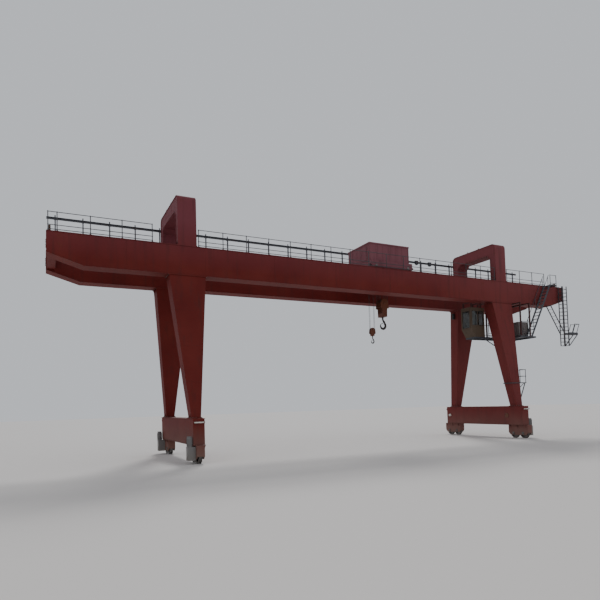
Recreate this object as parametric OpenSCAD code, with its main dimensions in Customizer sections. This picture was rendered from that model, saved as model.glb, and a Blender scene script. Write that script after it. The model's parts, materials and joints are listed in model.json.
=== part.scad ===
// A gantry crane for a storage yard. Two box girders with overhanging tips lie on two leg frames,
// a saddle frame ties the girders over each leg frame, and a housed trolley runs along the top.
// X runs along the girders, Y along the travel of the crane, Z up from the ground.

/* [Span and height] */
// Distance between the middles of the two leg frames
span = 22000; // [19000:500:23000]
// Length of the girders past each leg frame
overhang = 6410; // [6000:10:6700]
// Height of the girder tops above the ground
girder_top = 10830; // [10400:10:11400]

/* [Girders] */
// Depth of a girder between the leg frames
girder_depth = 1500; // [1350:10:1600]
// Depth of a girder at its tip
tip_depth = 1000; // [800:10:1200]
// Length of the sloping underside at each tip
taper_length = 1600; // [1200:50:2200]
// Distance across the outer edges of both girders
girder_spread = 4120; // [4080:10:4300]
// Width of a girder over its flanges
girder_width = 850; // [820:5:870]
// Thickness of the flange plates
flange_thick = 24; // [16:1:32]
// How far a flange stands out past the web
flange_lip = 30; // [20:1:45]
// Width of the cross beams at the girder tips
end_beam_width = 400; // [300:10:450]

/* [Saddles] */
// Height of a saddle frame's top above the ground
saddle_top = 13450; // [13400:10:13700]
// Size of a saddle frame along the girders
saddle_length = 960; // [800:10:1100]
// Width of a saddle column across the girders
saddle_column = 500; // [420:5:520]
// Depth of the saddle's top beam
saddle_beam = 700; // [500:10:720]
// Radius of the rounded outer corners
saddle_radius = 300; // [150:10:400]
// Size of the slanting corner gussets inside
saddle_haunch = 260; // [150:10:300]

/* [Legs] */
// Size of a leg along the girders at its top
leg_top_length = 1850; // [1500:10:2000]
// Size of a leg along the girders at its foot
leg_foot_length = 460; // [400:10:560]
// Size of a leg across the girders at its foot
leg_foot_width = 600; // [480:10:640]
// Distance between the middles of the two feet of a frame
foot_spread = 5640; // [5400:20:5900]
// Thickness of the bolted plates at the ends of a leg
joint_plate = 32; // [24:1:40]

/* [Ground beams and bogies] */
// Height of a ground beam's top
ground_beam_top = 2130; // [2000:10:2300]
// Depth of a ground beam
ground_beam_depth = 1260; // [1000:10:1280]
// Width of a ground beam
ground_beam_width = 620; // [620:10:760]
// Length of a ground beam
ground_beam_length = 7100; // [6900:20:7200]
// Length of a bogie
bogie_length = 1560; // [1520:10:1700]
// Width of a bogie
bogie_width = 380; // [360:5:420]
// Distance between the two wheels of a bogie
wheel_base = 760; // [740:10:800]
// Diameter of a travel wheel on its tread
wheel_tread = 600; // [560:10:620]
// Height of the wheel flanges over the tread
wheel_flange = 26; // [20:1:30]
// Width of a travel wheel
wheel_width = 160; // [130:5:170]
// Diameter of a wheel axle
axle = 110; // [90:5:125]

/* [Trolley] */
// Distance of the trolley's middle from mid-span
trolley_x = 2150; // [-3000:50:3000]
// Length of the trolley along the girders
trolley_length = 3100; // [3000:20:3300]
// Width of the trolley over its side beams
trolley_width = 3000; // [2960:10:3040]
// Width of the house across the girders
house_width = 2440; // [2300:20:2600]
// Height of the house roof above the ground
house_top = 12620; // [12500:10:12660]
// Thickness of the house walls
house_wall = 40; // [30:1:60]
// Height of the trolley rails
rail_height = 120; // [110:5:134]
// Width of a trolley rail's head
rail_head = 60; // [50:1:70]
// Diameter of a trolley wheel
trolley_wheel = 360; // [340:5:380]

/* [Hoists] */
// Place of the main hook along the trolley, from its middle
main_hook_x = 180; // [120:10:300]
// Place of the small hook along the trolley, from its middle
small_hook_x = -670; // [-760:10:-620]
// Height of the underside of the main hook
main_hook_bottom = 7350; // [7200:10:7600]
// Height of the underside of the small hook
small_hook_bottom = 6430; // [6200:10:6600]
// Diameter of the ropes' circle on the main sheaves and drum
main_sheave = 560; // [500:10:600]
// Diameter of the ropes' circle on the small sheaves and drum
small_sheave = 340; // [300:10:360]
// Diameter of the main ropes
main_rope = 24; // [18:1:28]
// Diameter of the small hoist's ropes
small_rope = 16; // [12:1:20]

/* [Cabin and decks] */
// Height of the deck plate's top above the ground
deck_top = 6980; // [6900:10:7060]
// Distance of the deck's inner edge from the middle of the crane
deck_inner_y = 380; // [370:5:420]
// Length of the cabin along the girders
cabin_length = 1260; // [1200:20:1400]
// Height of the cabin
cabin_height = 1960; // [1850:10:2040]
// Thickness of the cabin walls
cabin_wall = 50; // [40:1:60]
// Width of the cabin across the girders
cabin_width = 900; // [820:5:960]
// Width of the stairs
stair_width = 480; // [440:10:560]
// Height of the handrails on the girders
rail_rise = 900; // [850:10:1000]
// Height of the handrails on the decks
deck_rail_rise = 1020; // [950:10:1100]
// Height of the small landing on the right front leg
landing_z = 3720; // [3600:10:3900]
// Height of the platform at the right tip
tip_deck_z = 7330; // [7200:10:7500]
// Diameter of the handrail tubes
tube = 42; // [34:1:50]

/* [Hidden] */
$fn = 48;

LEFT = -1;
RIGHT = 1;
FRONT = -1;
REAR = 1;

steel_red = "#7c2a2c";
house_red = "#6a3138";
rail_grey = "#77797c";
track_grey = "#2f3138";
cabin_green = "#4a4c3a";
wheel_steel = "#4c4a49";
hook_black = "#26262a";

slip = 0.3;
tip_x = span / 2 + overhang;
girder_bottom = girder_top - girder_depth;
girder_y = girder_spread / 2 - girder_width / 2;
inner_y = girder_spread / 2 - girder_width;
web_width = girder_width - 2 * flange_lip;
tip_platform_end = tip_x + 1120;
middle_x = (tip_platform_end - tip_x) / 2;
ground_beam_bottom = ground_beam_top - ground_beam_depth;
wheel_radius = wheel_tread / 2 + wheel_flange;

// Places the crane so that the middle of its box lies over the origin
module placed() {
    translate([-middle_x, 0, 0])
        children();
}

// A block between three pairs of limits
module block(x, y, z) {
    translate([x[0], y[0], z[0]])
        cube([x[1] - x[0], y[1] - y[0], z[1] - z[0]]);
}

// A block with a middle and a size in X and Y, and limits in Z
module post(x, y, size_x, size_y, z) {
    block([x - size_x / 2, x + size_x / 2], [y - size_y / 2, y + size_y / 2], z);
}

// An outline drawn in X and Z, thickened between two values of Y
module along_y(y) {
    translate([0, y[1], 0])
        rotate([90, 0, 0])
            linear_extrude(y[1] - y[0])
                children();
}

// An outline drawn in Y and Z, thickened between two values of X
module along_x(x) {
    translate([x[0], 0, 0])
        rotate([90, 0, 90])
            linear_extrude(x[1] - x[0])
                children();
}

// A round bar between two points
module bar(a, b, d) {
    way = b - a;
    reach = norm(way);
    translate(a)
        rotate([0, acos(way[2] / reach), atan2(way[1], way[0])])
            cylinder(h = reach, d = d);
}

// A round bar along X
module bar_x(x, y, z, d) {
    translate([x[0], y, z])
        rotate([0, 90, 0])
            cylinder(h = x[1] - x[0], d = d);
}

// A round bar along Y
module bar_y(x, y, z, d) {
    translate([x, y[1], z])
        rotate([90, 0, 0])
            cylinder(h = y[1] - y[0], d = d);
}

// Mirrors a front piece to the rear
module at_side(side) {
    mirror([0, side == REAR ? 1 : 0, 0])
        children();
}

// Side view of a girder, its top and bottom drawn in by an inset
module girder_outline(inset) {
    polygon([
        [-tip_x, girder_top - inset],
        [tip_x, girder_top - inset],
        [tip_x, girder_top - tip_depth + inset],
        [tip_x - taper_length, girder_bottom + inset],
        [-tip_x + taper_length, girder_bottom + inset],
        [-tip_x, girder_top - tip_depth + inset]
    ]);
}

// A box girder on the front side: webs, flanges and end plates
module girder_form() {
    outer = -girder_spread / 2;
    along_y([outer + flange_lip, outer + girder_width - flange_lip])
        girder_outline(flange_thick);
    along_y([outer, outer + girder_width])
        difference() {
            girder_outline(0);
            girder_outline(flange_thick);
        }
}

module front_girder() {
    color(steel_red)
        placed()
            girder_form();
}

module rear_girder() {
    color(steel_red)
        placed()
            at_side(REAR)
                girder_form();
}

// A cross beam between the webs of both girders at one end
module end_beam_form(end) {
    web_y = inner_y + flange_lip;
    top = girder_top - flange_thick;
    bottom = girder_top - tip_depth + 2 * flange_thick;
    far = tip_x - flange_thick;
    near = far - end_beam_width;
    x = end == RIGHT ? [near, far] : [-far, -near];
    block([x[0] + flange_lip, x[1] - flange_lip], [-web_y, web_y], [bottom + flange_thick, top]);
    block(x, [-inner_y, inner_y], [top - flange_thick, top]);
    block(x, [-inner_y, inner_y], [bottom, bottom + flange_thick]);
}

module left_end_beam() {
    color(steel_red)
        placed()
            end_beam_form(LEFT);
}

module right_end_beam() {
    color(steel_red)
        placed()
            end_beam_form(RIGHT);
}

// Front view of a saddle frame, every edge but the foot drawn in by an inset
module saddle_outline(inset) {
    half = girder_spread / 2 - inset;
    top = saddle_top - inset;
    radius = saddle_radius - inset;
    open_half = girder_spread / 2 - saddle_column + inset;
    open_top = saddle_top - saddle_beam + inset;
    haunch = saddle_haunch;
    difference() {
        union() {
            translate([-half, girder_top])
                square([2 * half, top - radius - girder_top]);
            translate([-half + radius, girder_top])
                square([2 * (half - radius), top - girder_top]);
            for (side = [-1, 1])
                translate([side * (half - radius), top - radius])
                    circle(r = radius);
        }
        polygon([
            [-open_half, girder_top - 1],
            [open_half, girder_top - 1],
            [open_half, open_top - haunch],
            [open_half - haunch, open_top],
            [-open_half + haunch, open_top],
            [-open_half, open_top - haunch]
        ]);
    }
}

// A saddle frame over one leg frame, with a foot plate under each column
module saddle_form(end) {
    middle = end * span / 2;
    half = saddle_length / 2;
    foot = [girder_spread / 2 - saddle_column, girder_spread / 2];
    along_x([middle - half + flange_lip, middle + half - flange_lip])
        saddle_outline(flange_thick);
    along_x([middle - half, middle + half])
        difference() {
            saddle_outline(0);
            saddle_outline(flange_thick);
        }
    for (y = [foot, [-foot[1], -foot[0]]])
        block([middle - half - flange_lip, middle + half + flange_lip], y,
              [girder_top, girder_top + joint_plate]);
}

module left_saddle() {
    color(steel_red)
        placed()
            saddle_form(LEFT);
}

module right_saddle() {
    color(steel_red)
        placed()
            saddle_form(RIGHT);
}

leg_top_z = girder_bottom - joint_plate;
leg_foot_z = ground_beam_top + joint_plate;

// A leg on the front side: the meeting of its side view and its front view
module leg_form(end) {
    middle = end * span / 2;
    foot_y = -foot_spread / 2;
    top_out = -girder_spread / 2 + flange_lip;
    top_in = top_out + web_width;
    plate_edge = 60;
    intersection() {
        along_y([-foot_spread, 0])
            polygon([
                [middle - leg_foot_length / 2, leg_foot_z],
                [middle + leg_foot_length / 2, leg_foot_z],
                [middle + leg_top_length / 2, leg_top_z],
                [middle - leg_top_length / 2, leg_top_z]
            ]);
        along_x([middle - leg_top_length, middle + leg_top_length])
            polygon([
                [foot_y - leg_foot_width / 2, leg_foot_z],
                [foot_y + leg_foot_width / 2, leg_foot_z],
                [top_in, leg_top_z],
                [top_out, leg_top_z]
            ]);
    }
    block([middle - leg_top_length / 2 - plate_edge, middle + leg_top_length / 2 + plate_edge],
          [-girder_spread / 2, -inner_y], [leg_top_z, girder_bottom]);
    post(middle, foot_y, leg_foot_length + 2 * plate_edge, leg_foot_width + 2 * plate_edge,
         [ground_beam_top, leg_foot_z]);
}

module left_front_leg() {
    color(steel_red)
        placed()
            leg_form(LEFT);
}

module left_rear_leg() {
    color(steel_red)
        placed()
            at_side(REAR)
                leg_form(LEFT);
}

module right_front_leg() {
    color(steel_red)
        placed()
            leg_form(RIGHT);
}

module right_rear_leg() {
    color(steel_red)
        placed()
            at_side(REAR)
                leg_form(RIGHT);
}

// A box beam near the ground that joins the two feet of one frame
module ground_beam_form(end) {
    middle = end * span / 2;
    half_x = ground_beam_width / 2;
    half_y = ground_beam_length / 2;
    z = [ground_beam_bottom, ground_beam_top];
    block([middle - half_x + flange_lip, middle + half_x - flange_lip], [-half_y, half_y],
          [z[0] + flange_thick, z[1] - flange_thick]);
    for (bottom = [z[0], z[1] - flange_thick])
        block([middle - half_x, middle + half_x], [-half_y, half_y],
              [bottom, bottom + flange_thick]);
}

module left_ground_beam() {
    color(steel_red)
        placed()
            ground_beam_form(LEFT);
}

module right_ground_beam() {
    color(steel_red)
        placed()
            ground_beam_form(RIGHT);
}

bogie_y = ground_beam_length / 2 + 280 - bogie_length / 2;
bogie_plate = 30;
bogie_bottom = 210;
axle_out = 40;

// A bogie on the front side: a trough turned over, bored for two axles
module bogie_form(end) {
    middle = end * span / 2;
    low_corner = 160;
    half = bogie_length / 2;
    inside = half - bogie_plate;
    difference() {
        along_x([middle - bogie_width / 2, middle + bogie_width / 2])
            polygon([
                [-bogie_y - half, bogie_bottom + low_corner],
                [-bogie_y - half + low_corner, bogie_bottom],
                [-bogie_y + half - low_corner, bogie_bottom],
                [-bogie_y + half, bogie_bottom + low_corner],
                [-bogie_y + half, ground_beam_bottom],
                [-bogie_y - half, ground_beam_bottom]
            ]);
        block([middle - bogie_width / 2 + bogie_plate, middle + bogie_width / 2 - bogie_plate],
              [-bogie_y - inside, -bogie_y + inside], [0, ground_beam_bottom - bogie_plate]);
        for (way = [-1, 1])
            bar_x([middle - bogie_width, middle + bogie_width],
                  -bogie_y + way * wheel_base / 2, wheel_radius, axle + 2 * slip);
    }
}

module left_front_bogie() {
    color(steel_red)
        placed()
            bogie_form(LEFT);
}

module left_rear_bogie() {
    color(steel_red)
        placed()
            at_side(REAR)
                bogie_form(LEFT);
}

module right_front_bogie() {
    color(steel_red)
        placed()
            bogie_form(RIGHT);
}

module right_rear_bogie() {
    color(steel_red)
        placed()
            at_side(REAR)
                bogie_form(RIGHT);
}

// Half section of a double flanged wheel on its axle, along the axle
module wheel_section() {
    tread = wheel_tread / 2;
    half = wheel_width / 2;
    rim = 50;
    flange = 24;
    hub = axle / 2 + 45;
    web = 20;
    fillet = 6;
    axle_half = bogie_width / 2 + axle_out;
    polygon([
        [0, -axle_half], [axle / 2, -axle_half], [axle / 2, -half], [hub, -half],
        [hub, -web], [tread - rim, -web], [tread - rim, -half], [tread + wheel_flange, -half],
        [tread + wheel_flange, -half + flange], [tread, -half + flange + fillet],
        [tread, half - flange - fillet], [tread + wheel_flange, half - flange],
        [tread + wheel_flange, half], [tread - rim, half], [tread - rim, web],
        [hub, web], [hub, half], [axle / 2, half], [axle / 2, axle_half], [0, axle_half]
    ]);
}

// The two wheels of a front bogie
module wheels_form(end) {
    middle = end * span / 2;
    for (way = [-1, 1])
        translate([middle, -bogie_y + way * wheel_base / 2, wheel_radius])
            rotate([0, 90, 0])
                rotate_extrude($fn = 96)
                    wheel_section();
}

module left_front_wheels() {
    color(wheel_steel)
        placed()
            wheels_form(LEFT);
}

module left_rear_wheels() {
    color(wheel_steel)
        placed()
            at_side(REAR)
                wheels_form(LEFT);
}

module right_front_wheels() {
    color(wheel_steel)
        placed()
            wheels_form(RIGHT);
}

module right_rear_wheels() {
    color(wheel_steel)
        placed()
            at_side(REAR)
                wheels_form(RIGHT);
}

// The travel drive of one corner: gear case, motor and fan cover outside the bogie
module drive_form(end) {
    face = bogie_width / 2;
    case_y = -bogie_y - wheel_base / 2;
    case_out = 240;
    case_width = ground_beam_width / 2 + case_out - face;
    case_length = 380;
    case_drop = 150;
    case_gap = 60;
    case_z = [wheel_radius - case_drop, ground_beam_bottom - case_gap];
    axle_end = bogie_width / 2 + axle_out;
    motor_d = 250;
    motor_length = 430;
    motor_gap = 15;
    motor_x = ground_beam_width / 2 + motor_d / 2 + motor_gap;
    motor_y = case_y - case_length / 2 + motor_d / 2 + 20;
    fan_length = 60;
    fan_d = motor_d - 30;
    translate([end * span / 2, 0, 0])
        mirror([end == LEFT ? 1 : 0, 0, 0]) {
            difference() {
                block([face, face + case_width],
                      [case_y - case_length / 2, case_y + case_length / 2], case_z);
                bar_x([face - 1, axle_end + slip], case_y, wheel_radius, axle + 2 * slip);
            }
            translate([motor_x, motor_y, case_z[1]]) {
                cylinder(h = motor_length, d = motor_d);
                translate([0, 0, motor_length])
                    cylinder(h = fan_length, d = fan_d);
            }
        }
}

module left_drives() {
    color(rail_grey)
        placed()
            for (side = [FRONT, REAR])
                at_side(side)
                    drive_form(LEFT);
}

module right_drives() {
    color(rail_grey)
        placed()
            for (side = [FRONT, REAR])
                at_side(side)
                    drive_form(RIGHT);
}

rail_y = trolley_width / 2 - 100;
stop_x = tip_x - 200;

// The rail and its two end stops on the front girder
module trolley_rail_form() {
    foot = 120;
    foot_thick = 18;
    neck = 24;
    head_thick = 34;
    foot_slope = 12;
    head_slope = 8;
    end_gap = 60;
    stop_length = 90;
    stop_height = 420;
    along_x([-tip_x + end_gap, tip_x - end_gap])
        polygon([
            [-rail_y - foot / 2, girder_top],
            [-rail_y + foot / 2, girder_top],
            [-rail_y + foot / 2, girder_top + foot_thick],
            [-rail_y + neck / 2, girder_top + foot_thick + foot_slope],
            [-rail_y + neck / 2, girder_top + rail_height - head_thick - head_slope],
            [-rail_y + rail_head / 2, girder_top + rail_height - head_thick],
            [-rail_y + rail_head / 2, girder_top + rail_height],
            [-rail_y - rail_head / 2, girder_top + rail_height],
            [-rail_y - rail_head / 2, girder_top + rail_height - head_thick],
            [-rail_y - neck / 2, girder_top + rail_height - head_thick - head_slope],
            [-rail_y - neck / 2, girder_top + foot_thick + foot_slope],
            [-rail_y - foot / 2, girder_top + foot_thick]
        ]);
    for (end = [LEFT, RIGHT])
        mirror([end == LEFT ? 1 : 0, 0, 0])
            block([stop_x, stop_x + stop_length], [-rail_y - foot, -rail_y + foot],
                  [girder_top, girder_top + stop_height]);
}

module front_trolley_rail() {
    color(wheel_steel)
        placed()
            trolley_rail_form();
}

module rear_trolley_rail() {
    color(wheel_steel)
        placed()
            at_side(REAR)
                trolley_rail_form();
}

rail_pitch = 1335;
rail_end_bay = 420;
rail_gap = 60;
knee_rail = 300;
toe_rail = 100;
rail_sides = 16;
thin_tube = tube * 0.8;
handrail_y = -girder_spread / 2 + tube;

// A straight run of handrail along X: posts and three rails
module rail_run(x, y, z, rise = rail_rise) {
    bays = max(1, round((x[1] - x[0] - tube) / rail_pitch));
    step = (x[1] - x[0] - tube) / bays;
    for (i = [0 : bays])
        translate([x[0] + tube / 2 + i * step, y, z])
            cylinder(h = rise, d = tube, $fn = rail_sides);
    for (height = [rise, knee_rail, toe_rail])
        bar_x(x, y, z + height - tube / 2, thin_tube, $fn = rail_sides);
}

// A straight run of handrail along Y
module rail_run_across(x, y, z, rise = rail_rise) {
    translate([x, y[0], 0])
        rotate(90)
            rail_run([0, y[1] - y[0]], 0, z, rise);
}

column_face = saddle_length / 2 + flange_lip;
stringer = 160;
stair_x = [span / 2 + 2130, span / 2 + 4270];
gate_x = [stair_x[1] + stringer, stair_x[1] + stringer + 640];
tip_post = 45;
tip_ladder_x = [tip_x - 610, tip_x - 160];
tip_ladder_y = [-girder_spread / 2 - 380, -girder_spread / 2 - 60];

module left_handrail() {
    end_post = -tip_x + rail_gap;
    color(rail_grey)
        placed() {
            rail_run([end_post, end_post + rail_end_bay], handrail_y, girder_top);
            rail_run([end_post + rail_end_bay - tube, -span / 2 - 1700], handrail_y, girder_top);
        }
}

module middle_handrail() {
    half = span / 2 - column_face - rail_gap;
    color(rail_grey)
        placed()
            rail_run([-half, half], handrail_y, girder_top);
}

module right_handrail() {
    color(rail_grey)
        placed() {
            rail_run([span / 2 + column_face + rail_gap, gate_x[0]], handrail_y, girder_top);
            rail_run([gate_x[1], tip_ladder_x[0] - tip_post], handrail_y, girder_top);
        }
}

track_z = 12880;
track_height = 120;
track_width = 90;

// Outline of an I-beam over the origin, its top at height 0
module i_outline(width, height, flange, web) {
    translate([-width / 2, -flange])
        square([width, flange]);
    translate([-web / 2, -height])
        square([web, height]);
    translate([-width / 2, -height])
        square([width, flange]);
}

// The beam for the trolley's power cables, on posts along the rear girder's outer edge
module cable_track() {
    edge = girder_spread / 2;
    post_size = 60;
    post_foot = 220;
    first_post = 460;
    pitch = 1370;
    end_gap = 40;
    knob = [60, 110];
    y = edge + track_width / 2 + slip;
    bays = round(2 * (tip_x - first_post) / pitch);
    step = 2 * (tip_x - first_post) / bays;
    color(track_grey)
        placed() {
            along_x([-tip_x + end_gap, tip_x - end_gap])
                translate([y, track_z])
                    i_outline(track_width, track_height, 14, 12);
            for (i = [0 : bays]) {
                x = -tip_x + first_post + i * step;
                block([x - post_size / 2, x + post_size / 2], [edge, y + post_size / 2],
                      [girder_top - post_foot, track_z - track_height]);
                translate([x, y, track_z])
                    cylinder(h = knob[1], d = knob[0], $fn = rail_sides);
            }
        }
}

cabin_x0 = span / 2 - 2220;
cabin_x1 = cabin_x0 + cabin_length;
cabin_y1 = -deck_inner_y;
cabin_y0 = cabin_y1 - cabin_width;
cabin_slant = [350, 560];
deck_plate = 8;
deck_beam = 100;
deck_lip = 50;
cabin_base = deck_top;
cabin_top = cabin_base + cabin_height;
window_low = 800;
window_high = cabin_height - 160;
window_post = 70;
door_width = 620;
door_height = 1800;

// Side view of the cabin, its lower front corner slanting back under the driver's feet
module cabin_outline() {
    polygon([
        [cabin_x0, cabin_base + cabin_slant[1]],
        [cabin_x0 + cabin_slant[0], cabin_base],
        [cabin_x1, cabin_base],
        [cabin_x1, cabin_top],
        [cabin_x0, cabin_top]
    ]);
}

// The window holes of the cabin, cut through three of its walls
module window_holes(extra) {
    z = [cabin_base + window_low, cabin_base + window_high];
    side_x = [cabin_x0 + cabin_wall + window_post, cabin_x1 - cabin_wall - window_post];
    block(side_x, [cabin_y0 - extra, cabin_y0 + cabin_wall + extra], z);
    block(side_x, [cabin_y1 - cabin_wall - extra, cabin_y1 + extra], z);
    block([cabin_x0 - extra, cabin_x0 + cabin_wall + extra],
          [cabin_y0 + cabin_wall + window_post, cabin_y1 - cabin_wall - window_post],
          [cabin_base + cabin_slant[1] + window_post, z[1]]);
}

// The cabin's walls and floor, open at the top, with a doorway towards the deck
module cabin_shell() {
    door_y = (cabin_y0 + cabin_y1) / 2;
    room_y = [cabin_y0 + cabin_wall, cabin_y1 - cabin_wall];
    color(cabin_green)
        placed()
            difference() {
                along_y([cabin_y0, cabin_y1])
                    cabin_outline();
                along_y(room_y)
                    offset(delta = -cabin_wall)
                        cabin_outline();
                block([cabin_x0 + cabin_wall, cabin_x1 - cabin_wall], room_y,
                      [cabin_top - 2 * cabin_wall, cabin_top + 1]);
                window_holes(1);
                block([cabin_x1 - cabin_wall - 1, cabin_x1 + 1],
                      [door_y - door_width / 2, door_y + door_width / 2],
                      [cabin_base + cabin_wall, cabin_base + door_height]);
            }
}

module cabin_roof() {
    eave = 20;
    color(cabin_green)
        placed()
            block([cabin_x0 - eave, cabin_x1 + eave], [cabin_y0 + 1, cabin_y1],
                  [cabin_top, roof_z]);
}

// One pane in the middle of the wall in each window hole
module cabin_glass() {
    pane = 8;
    half = pane / 2;
    z = [cabin_base, cabin_top];
    color("#6c7a78")
        placed()
            intersection() {
                window_holes(0);
                union() {
                    for (y = [cabin_y0 + cabin_wall / 2, cabin_y1 - cabin_wall / 2])
                        block([cabin_x0 + cabin_wall, cabin_x1 - cabin_wall],
                              [y - half, y + half], z);
                    block([cabin_x0 + cabin_wall / 2 - half, cabin_x0 + cabin_wall / 2 + half],
                          [cabin_y0 + cabin_wall, cabin_y1 - cabin_wall], z);
                }
            }
}

roof_z = cabin_top + cabin_wall;
hanger = 80;
deck_x0 = cabin_x0 + cabin_slant[0];
deck_hanger_x = cabin_x1 + 310;
platform_x = [span / 2 + 1000, stair_x[0] + 430];
platform_y0 = -girder_spread / 2 - stair_width - 60;
platform_hangers = [platform_x[0] + 120, stair_x[0] - 100];

// Cross bars on and under the front girder, with hangers down to the cabin roof and the deck
module cabin_hangers() {
    lip_top = girder_bottom + flange_thick;
    roof_bars = [cabin_x0 + 200, cabin_x1 - 200];
    hang_y = [-inner_y + hanger / 2 + 1, cabin_y1 - hanger / 2];
    color(steel_red)
        placed() {
            for (x = [roof_bars[0], roof_bars[1], deck_hanger_x]) {
                low = x == deck_hanger_x ? deck_top : roof_z;
                block([x - hanger / 2, x + hanger / 2], [-inner_y - flange_lip, cabin_y1],
                      [lip_top, lip_top + hanger]);
                for (y = hang_y)
                    post(x, y, hanger, hanger, [low, lip_top]);
            }
            for (x = platform_hangers) {
                block([x - hanger / 2, x + hanger / 2], [platform_y0, cabin_y1],
                      [girder_bottom - hanger, girder_bottom]);
                for (y = [platform_y0 + hanger / 2, cabin_y1 - hanger / 2])
                    post(x, y, hanger, hanger, [deck_top, girder_bottom - hanger]);
            }
        }
}

// The deck: a strip under the cabin and past the leg, a platform outside the leg, and a knee brace
module cabin_deck() {
    z = [deck_top - deck_plate - deck_beam, deck_top - deck_plate];
    brace_reach = 410;
    brace_drop = 900;
    brace_d = tube * 1.5;
    brace_top = [deck_hanger_x - brace_reach, cabin_y0 + deck_lip, z[0] + tube / 2];
    brace_foot = [span / 2 - leg_foot_length / 2, leg_middle_y(z[0]), z[0] - brace_drop];
    color(track_grey)
        placed() {
            block([deck_x0, platform_x[1]], [cabin_y0, cabin_y1], [z[1], deck_top]);
            block(platform_x, [platform_y0, cabin_y1], [z[1], deck_top]);
            for (y = [cabin_y0, cabin_y1 - deck_lip])
                block([deck_x0, platform_x[1]], [y, y + deck_lip], z);
            block(platform_x, [platform_y0, platform_y0 + deck_lip], z);
            for (x = [platform_x[0], platform_x[1] - deck_lip])
                block([x, x + deck_lip], [platform_y0, cabin_y1], z);
            for (x = [deck_x0, cabin_x1 - deck_lip])
                block([x, x + deck_lip], [cabin_y0, cabin_y1], z);
            difference() {
                bar(brace_top, brace_foot, brace_d, $fn = rail_sides);
                leg_form(RIGHT);
            }
        }
}

module deck_handrail() {
    y1 = cabin_y1 - tube / 2;
    y0 = cabin_y0 + tube / 2;
    side = hanger / 2 + 20;
    end = platform_x[1] - 20;
    color(rail_grey)
        placed() {
            rail_run([deck_hanger_x + side, platform_hangers[0] - side], y1, deck_top,
                     deck_rail_rise);
            rail_run([platform_hangers[0] + side, platform_hangers[1] - side], y1, deck_top,
                     deck_rail_rise);
            rail_run([platform_hangers[1] + side, end], y1, deck_top, deck_rail_rise);
            rail_run([deck_hanger_x + side, platform_x[0] - 20], y0, deck_top, deck_rail_rise);
            rail_run([platform_hangers[0] + side, platform_hangers[1] - side],
                     platform_y0 + tube / 2, deck_top, deck_rail_rise);
            rail_run_across(end - tube / 2, [stair_y[1] + 100, y1 - tube], deck_top,
                            deck_rail_rise);
        }
}

// The switch cabinet on the outer platform
module deck_cabinet() {
    size = [950, 470, 1050];
    corner = [stair_x[0] + 320 - size[0], stair_y[1] + 60, deck_top];
    color(track_grey)
        placed()
            translate(corner)
                cube(size);
}

stair_y = [-girder_spread / 2 - 20 - stair_width, -girder_spread / 2 - 20];

// Steep stairs from the platform up to the gap in the girder's handrail
module stairs() {
    rise = girder_top - deck_top;
    run = stair_x[1] - stair_x[0];
    treads = 15;
    tread_thick = 30;
    nosing = 10;
    plate = 12;
    post_width = 40;
    landing_thick = 60;
    foot_rise = 60;
    rail_lift = deck_rail_rise - 110;
    rail_part = [0.06, 0.94];
    rail_x = stair_x[0] + stringer / 2;
    post_parts = [0.1, 0.5, 0.9];
    plates = [[stair_y[0], stair_y[0] + plate], [stair_y[1] - plate, stair_y[1]]];
    color(track_grey)
        placed() {
            for (y = plates)
                along_y(y)
                    polygon([
                        [stair_x[0], deck_top],
                        [stair_x[0] + stringer, deck_top],
                        [stair_x[1] + stringer, girder_top],
                        [stair_x[1], girder_top]
                    ]);
            for (i = [1 : treads - 1]) {
                x = stair_x[0] + run * i / treads;
                z = deck_top + rise * i / treads;
                block([x + nosing, x + stringer], [stair_y[0] + 1, stair_y[1] - 1],
                      [z - tread_thick, z]);
            }
            block([gate_x[0], gate_x[1]], [stair_y[0], -girder_spread / 2],
                  [girder_top - landing_thick, girder_top]);
            for (y = plates) {
                for (i = post_parts) {
                    x = rail_x + run * i;
                    z = deck_top + rise * i;
                    block([x - post_width / 2, x + post_width / 2], y,
                          [z - foot_rise, z + rail_lift + thin_tube / 3]);
                }
                bar([rail_x + run * rail_part[0], (y[0] + y[1]) / 2,
                     deck_top + rise * rail_part[0] + rail_lift],
                    [rail_x + run * rail_part[1], (y[0] + y[1]) / 2,
                     deck_top + rise * rail_part[1] + rail_lift], thin_tube, $fn = rail_sides);
            }
        }
}

// How far up a leg a height lies, as a share
function leg_share(z) = (z - leg_foot_z) / (leg_top_z - leg_foot_z);

// Half the size of a leg along X at a height
function leg_half_x(z) =
    (leg_foot_length + (leg_top_length - leg_foot_length) * leg_share(z)) / 2;

// Half the size of a leg along Y at a height
function leg_half_y(z) = (leg_foot_width + (web_width - leg_foot_width) * leg_share(z)) / 2;

// Where the middle of a front leg lies along Y at a height
function leg_middle_y(z) = -(foot_spread / 2 + (girder_y - foot_spread / 2) * leg_share(z));

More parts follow.
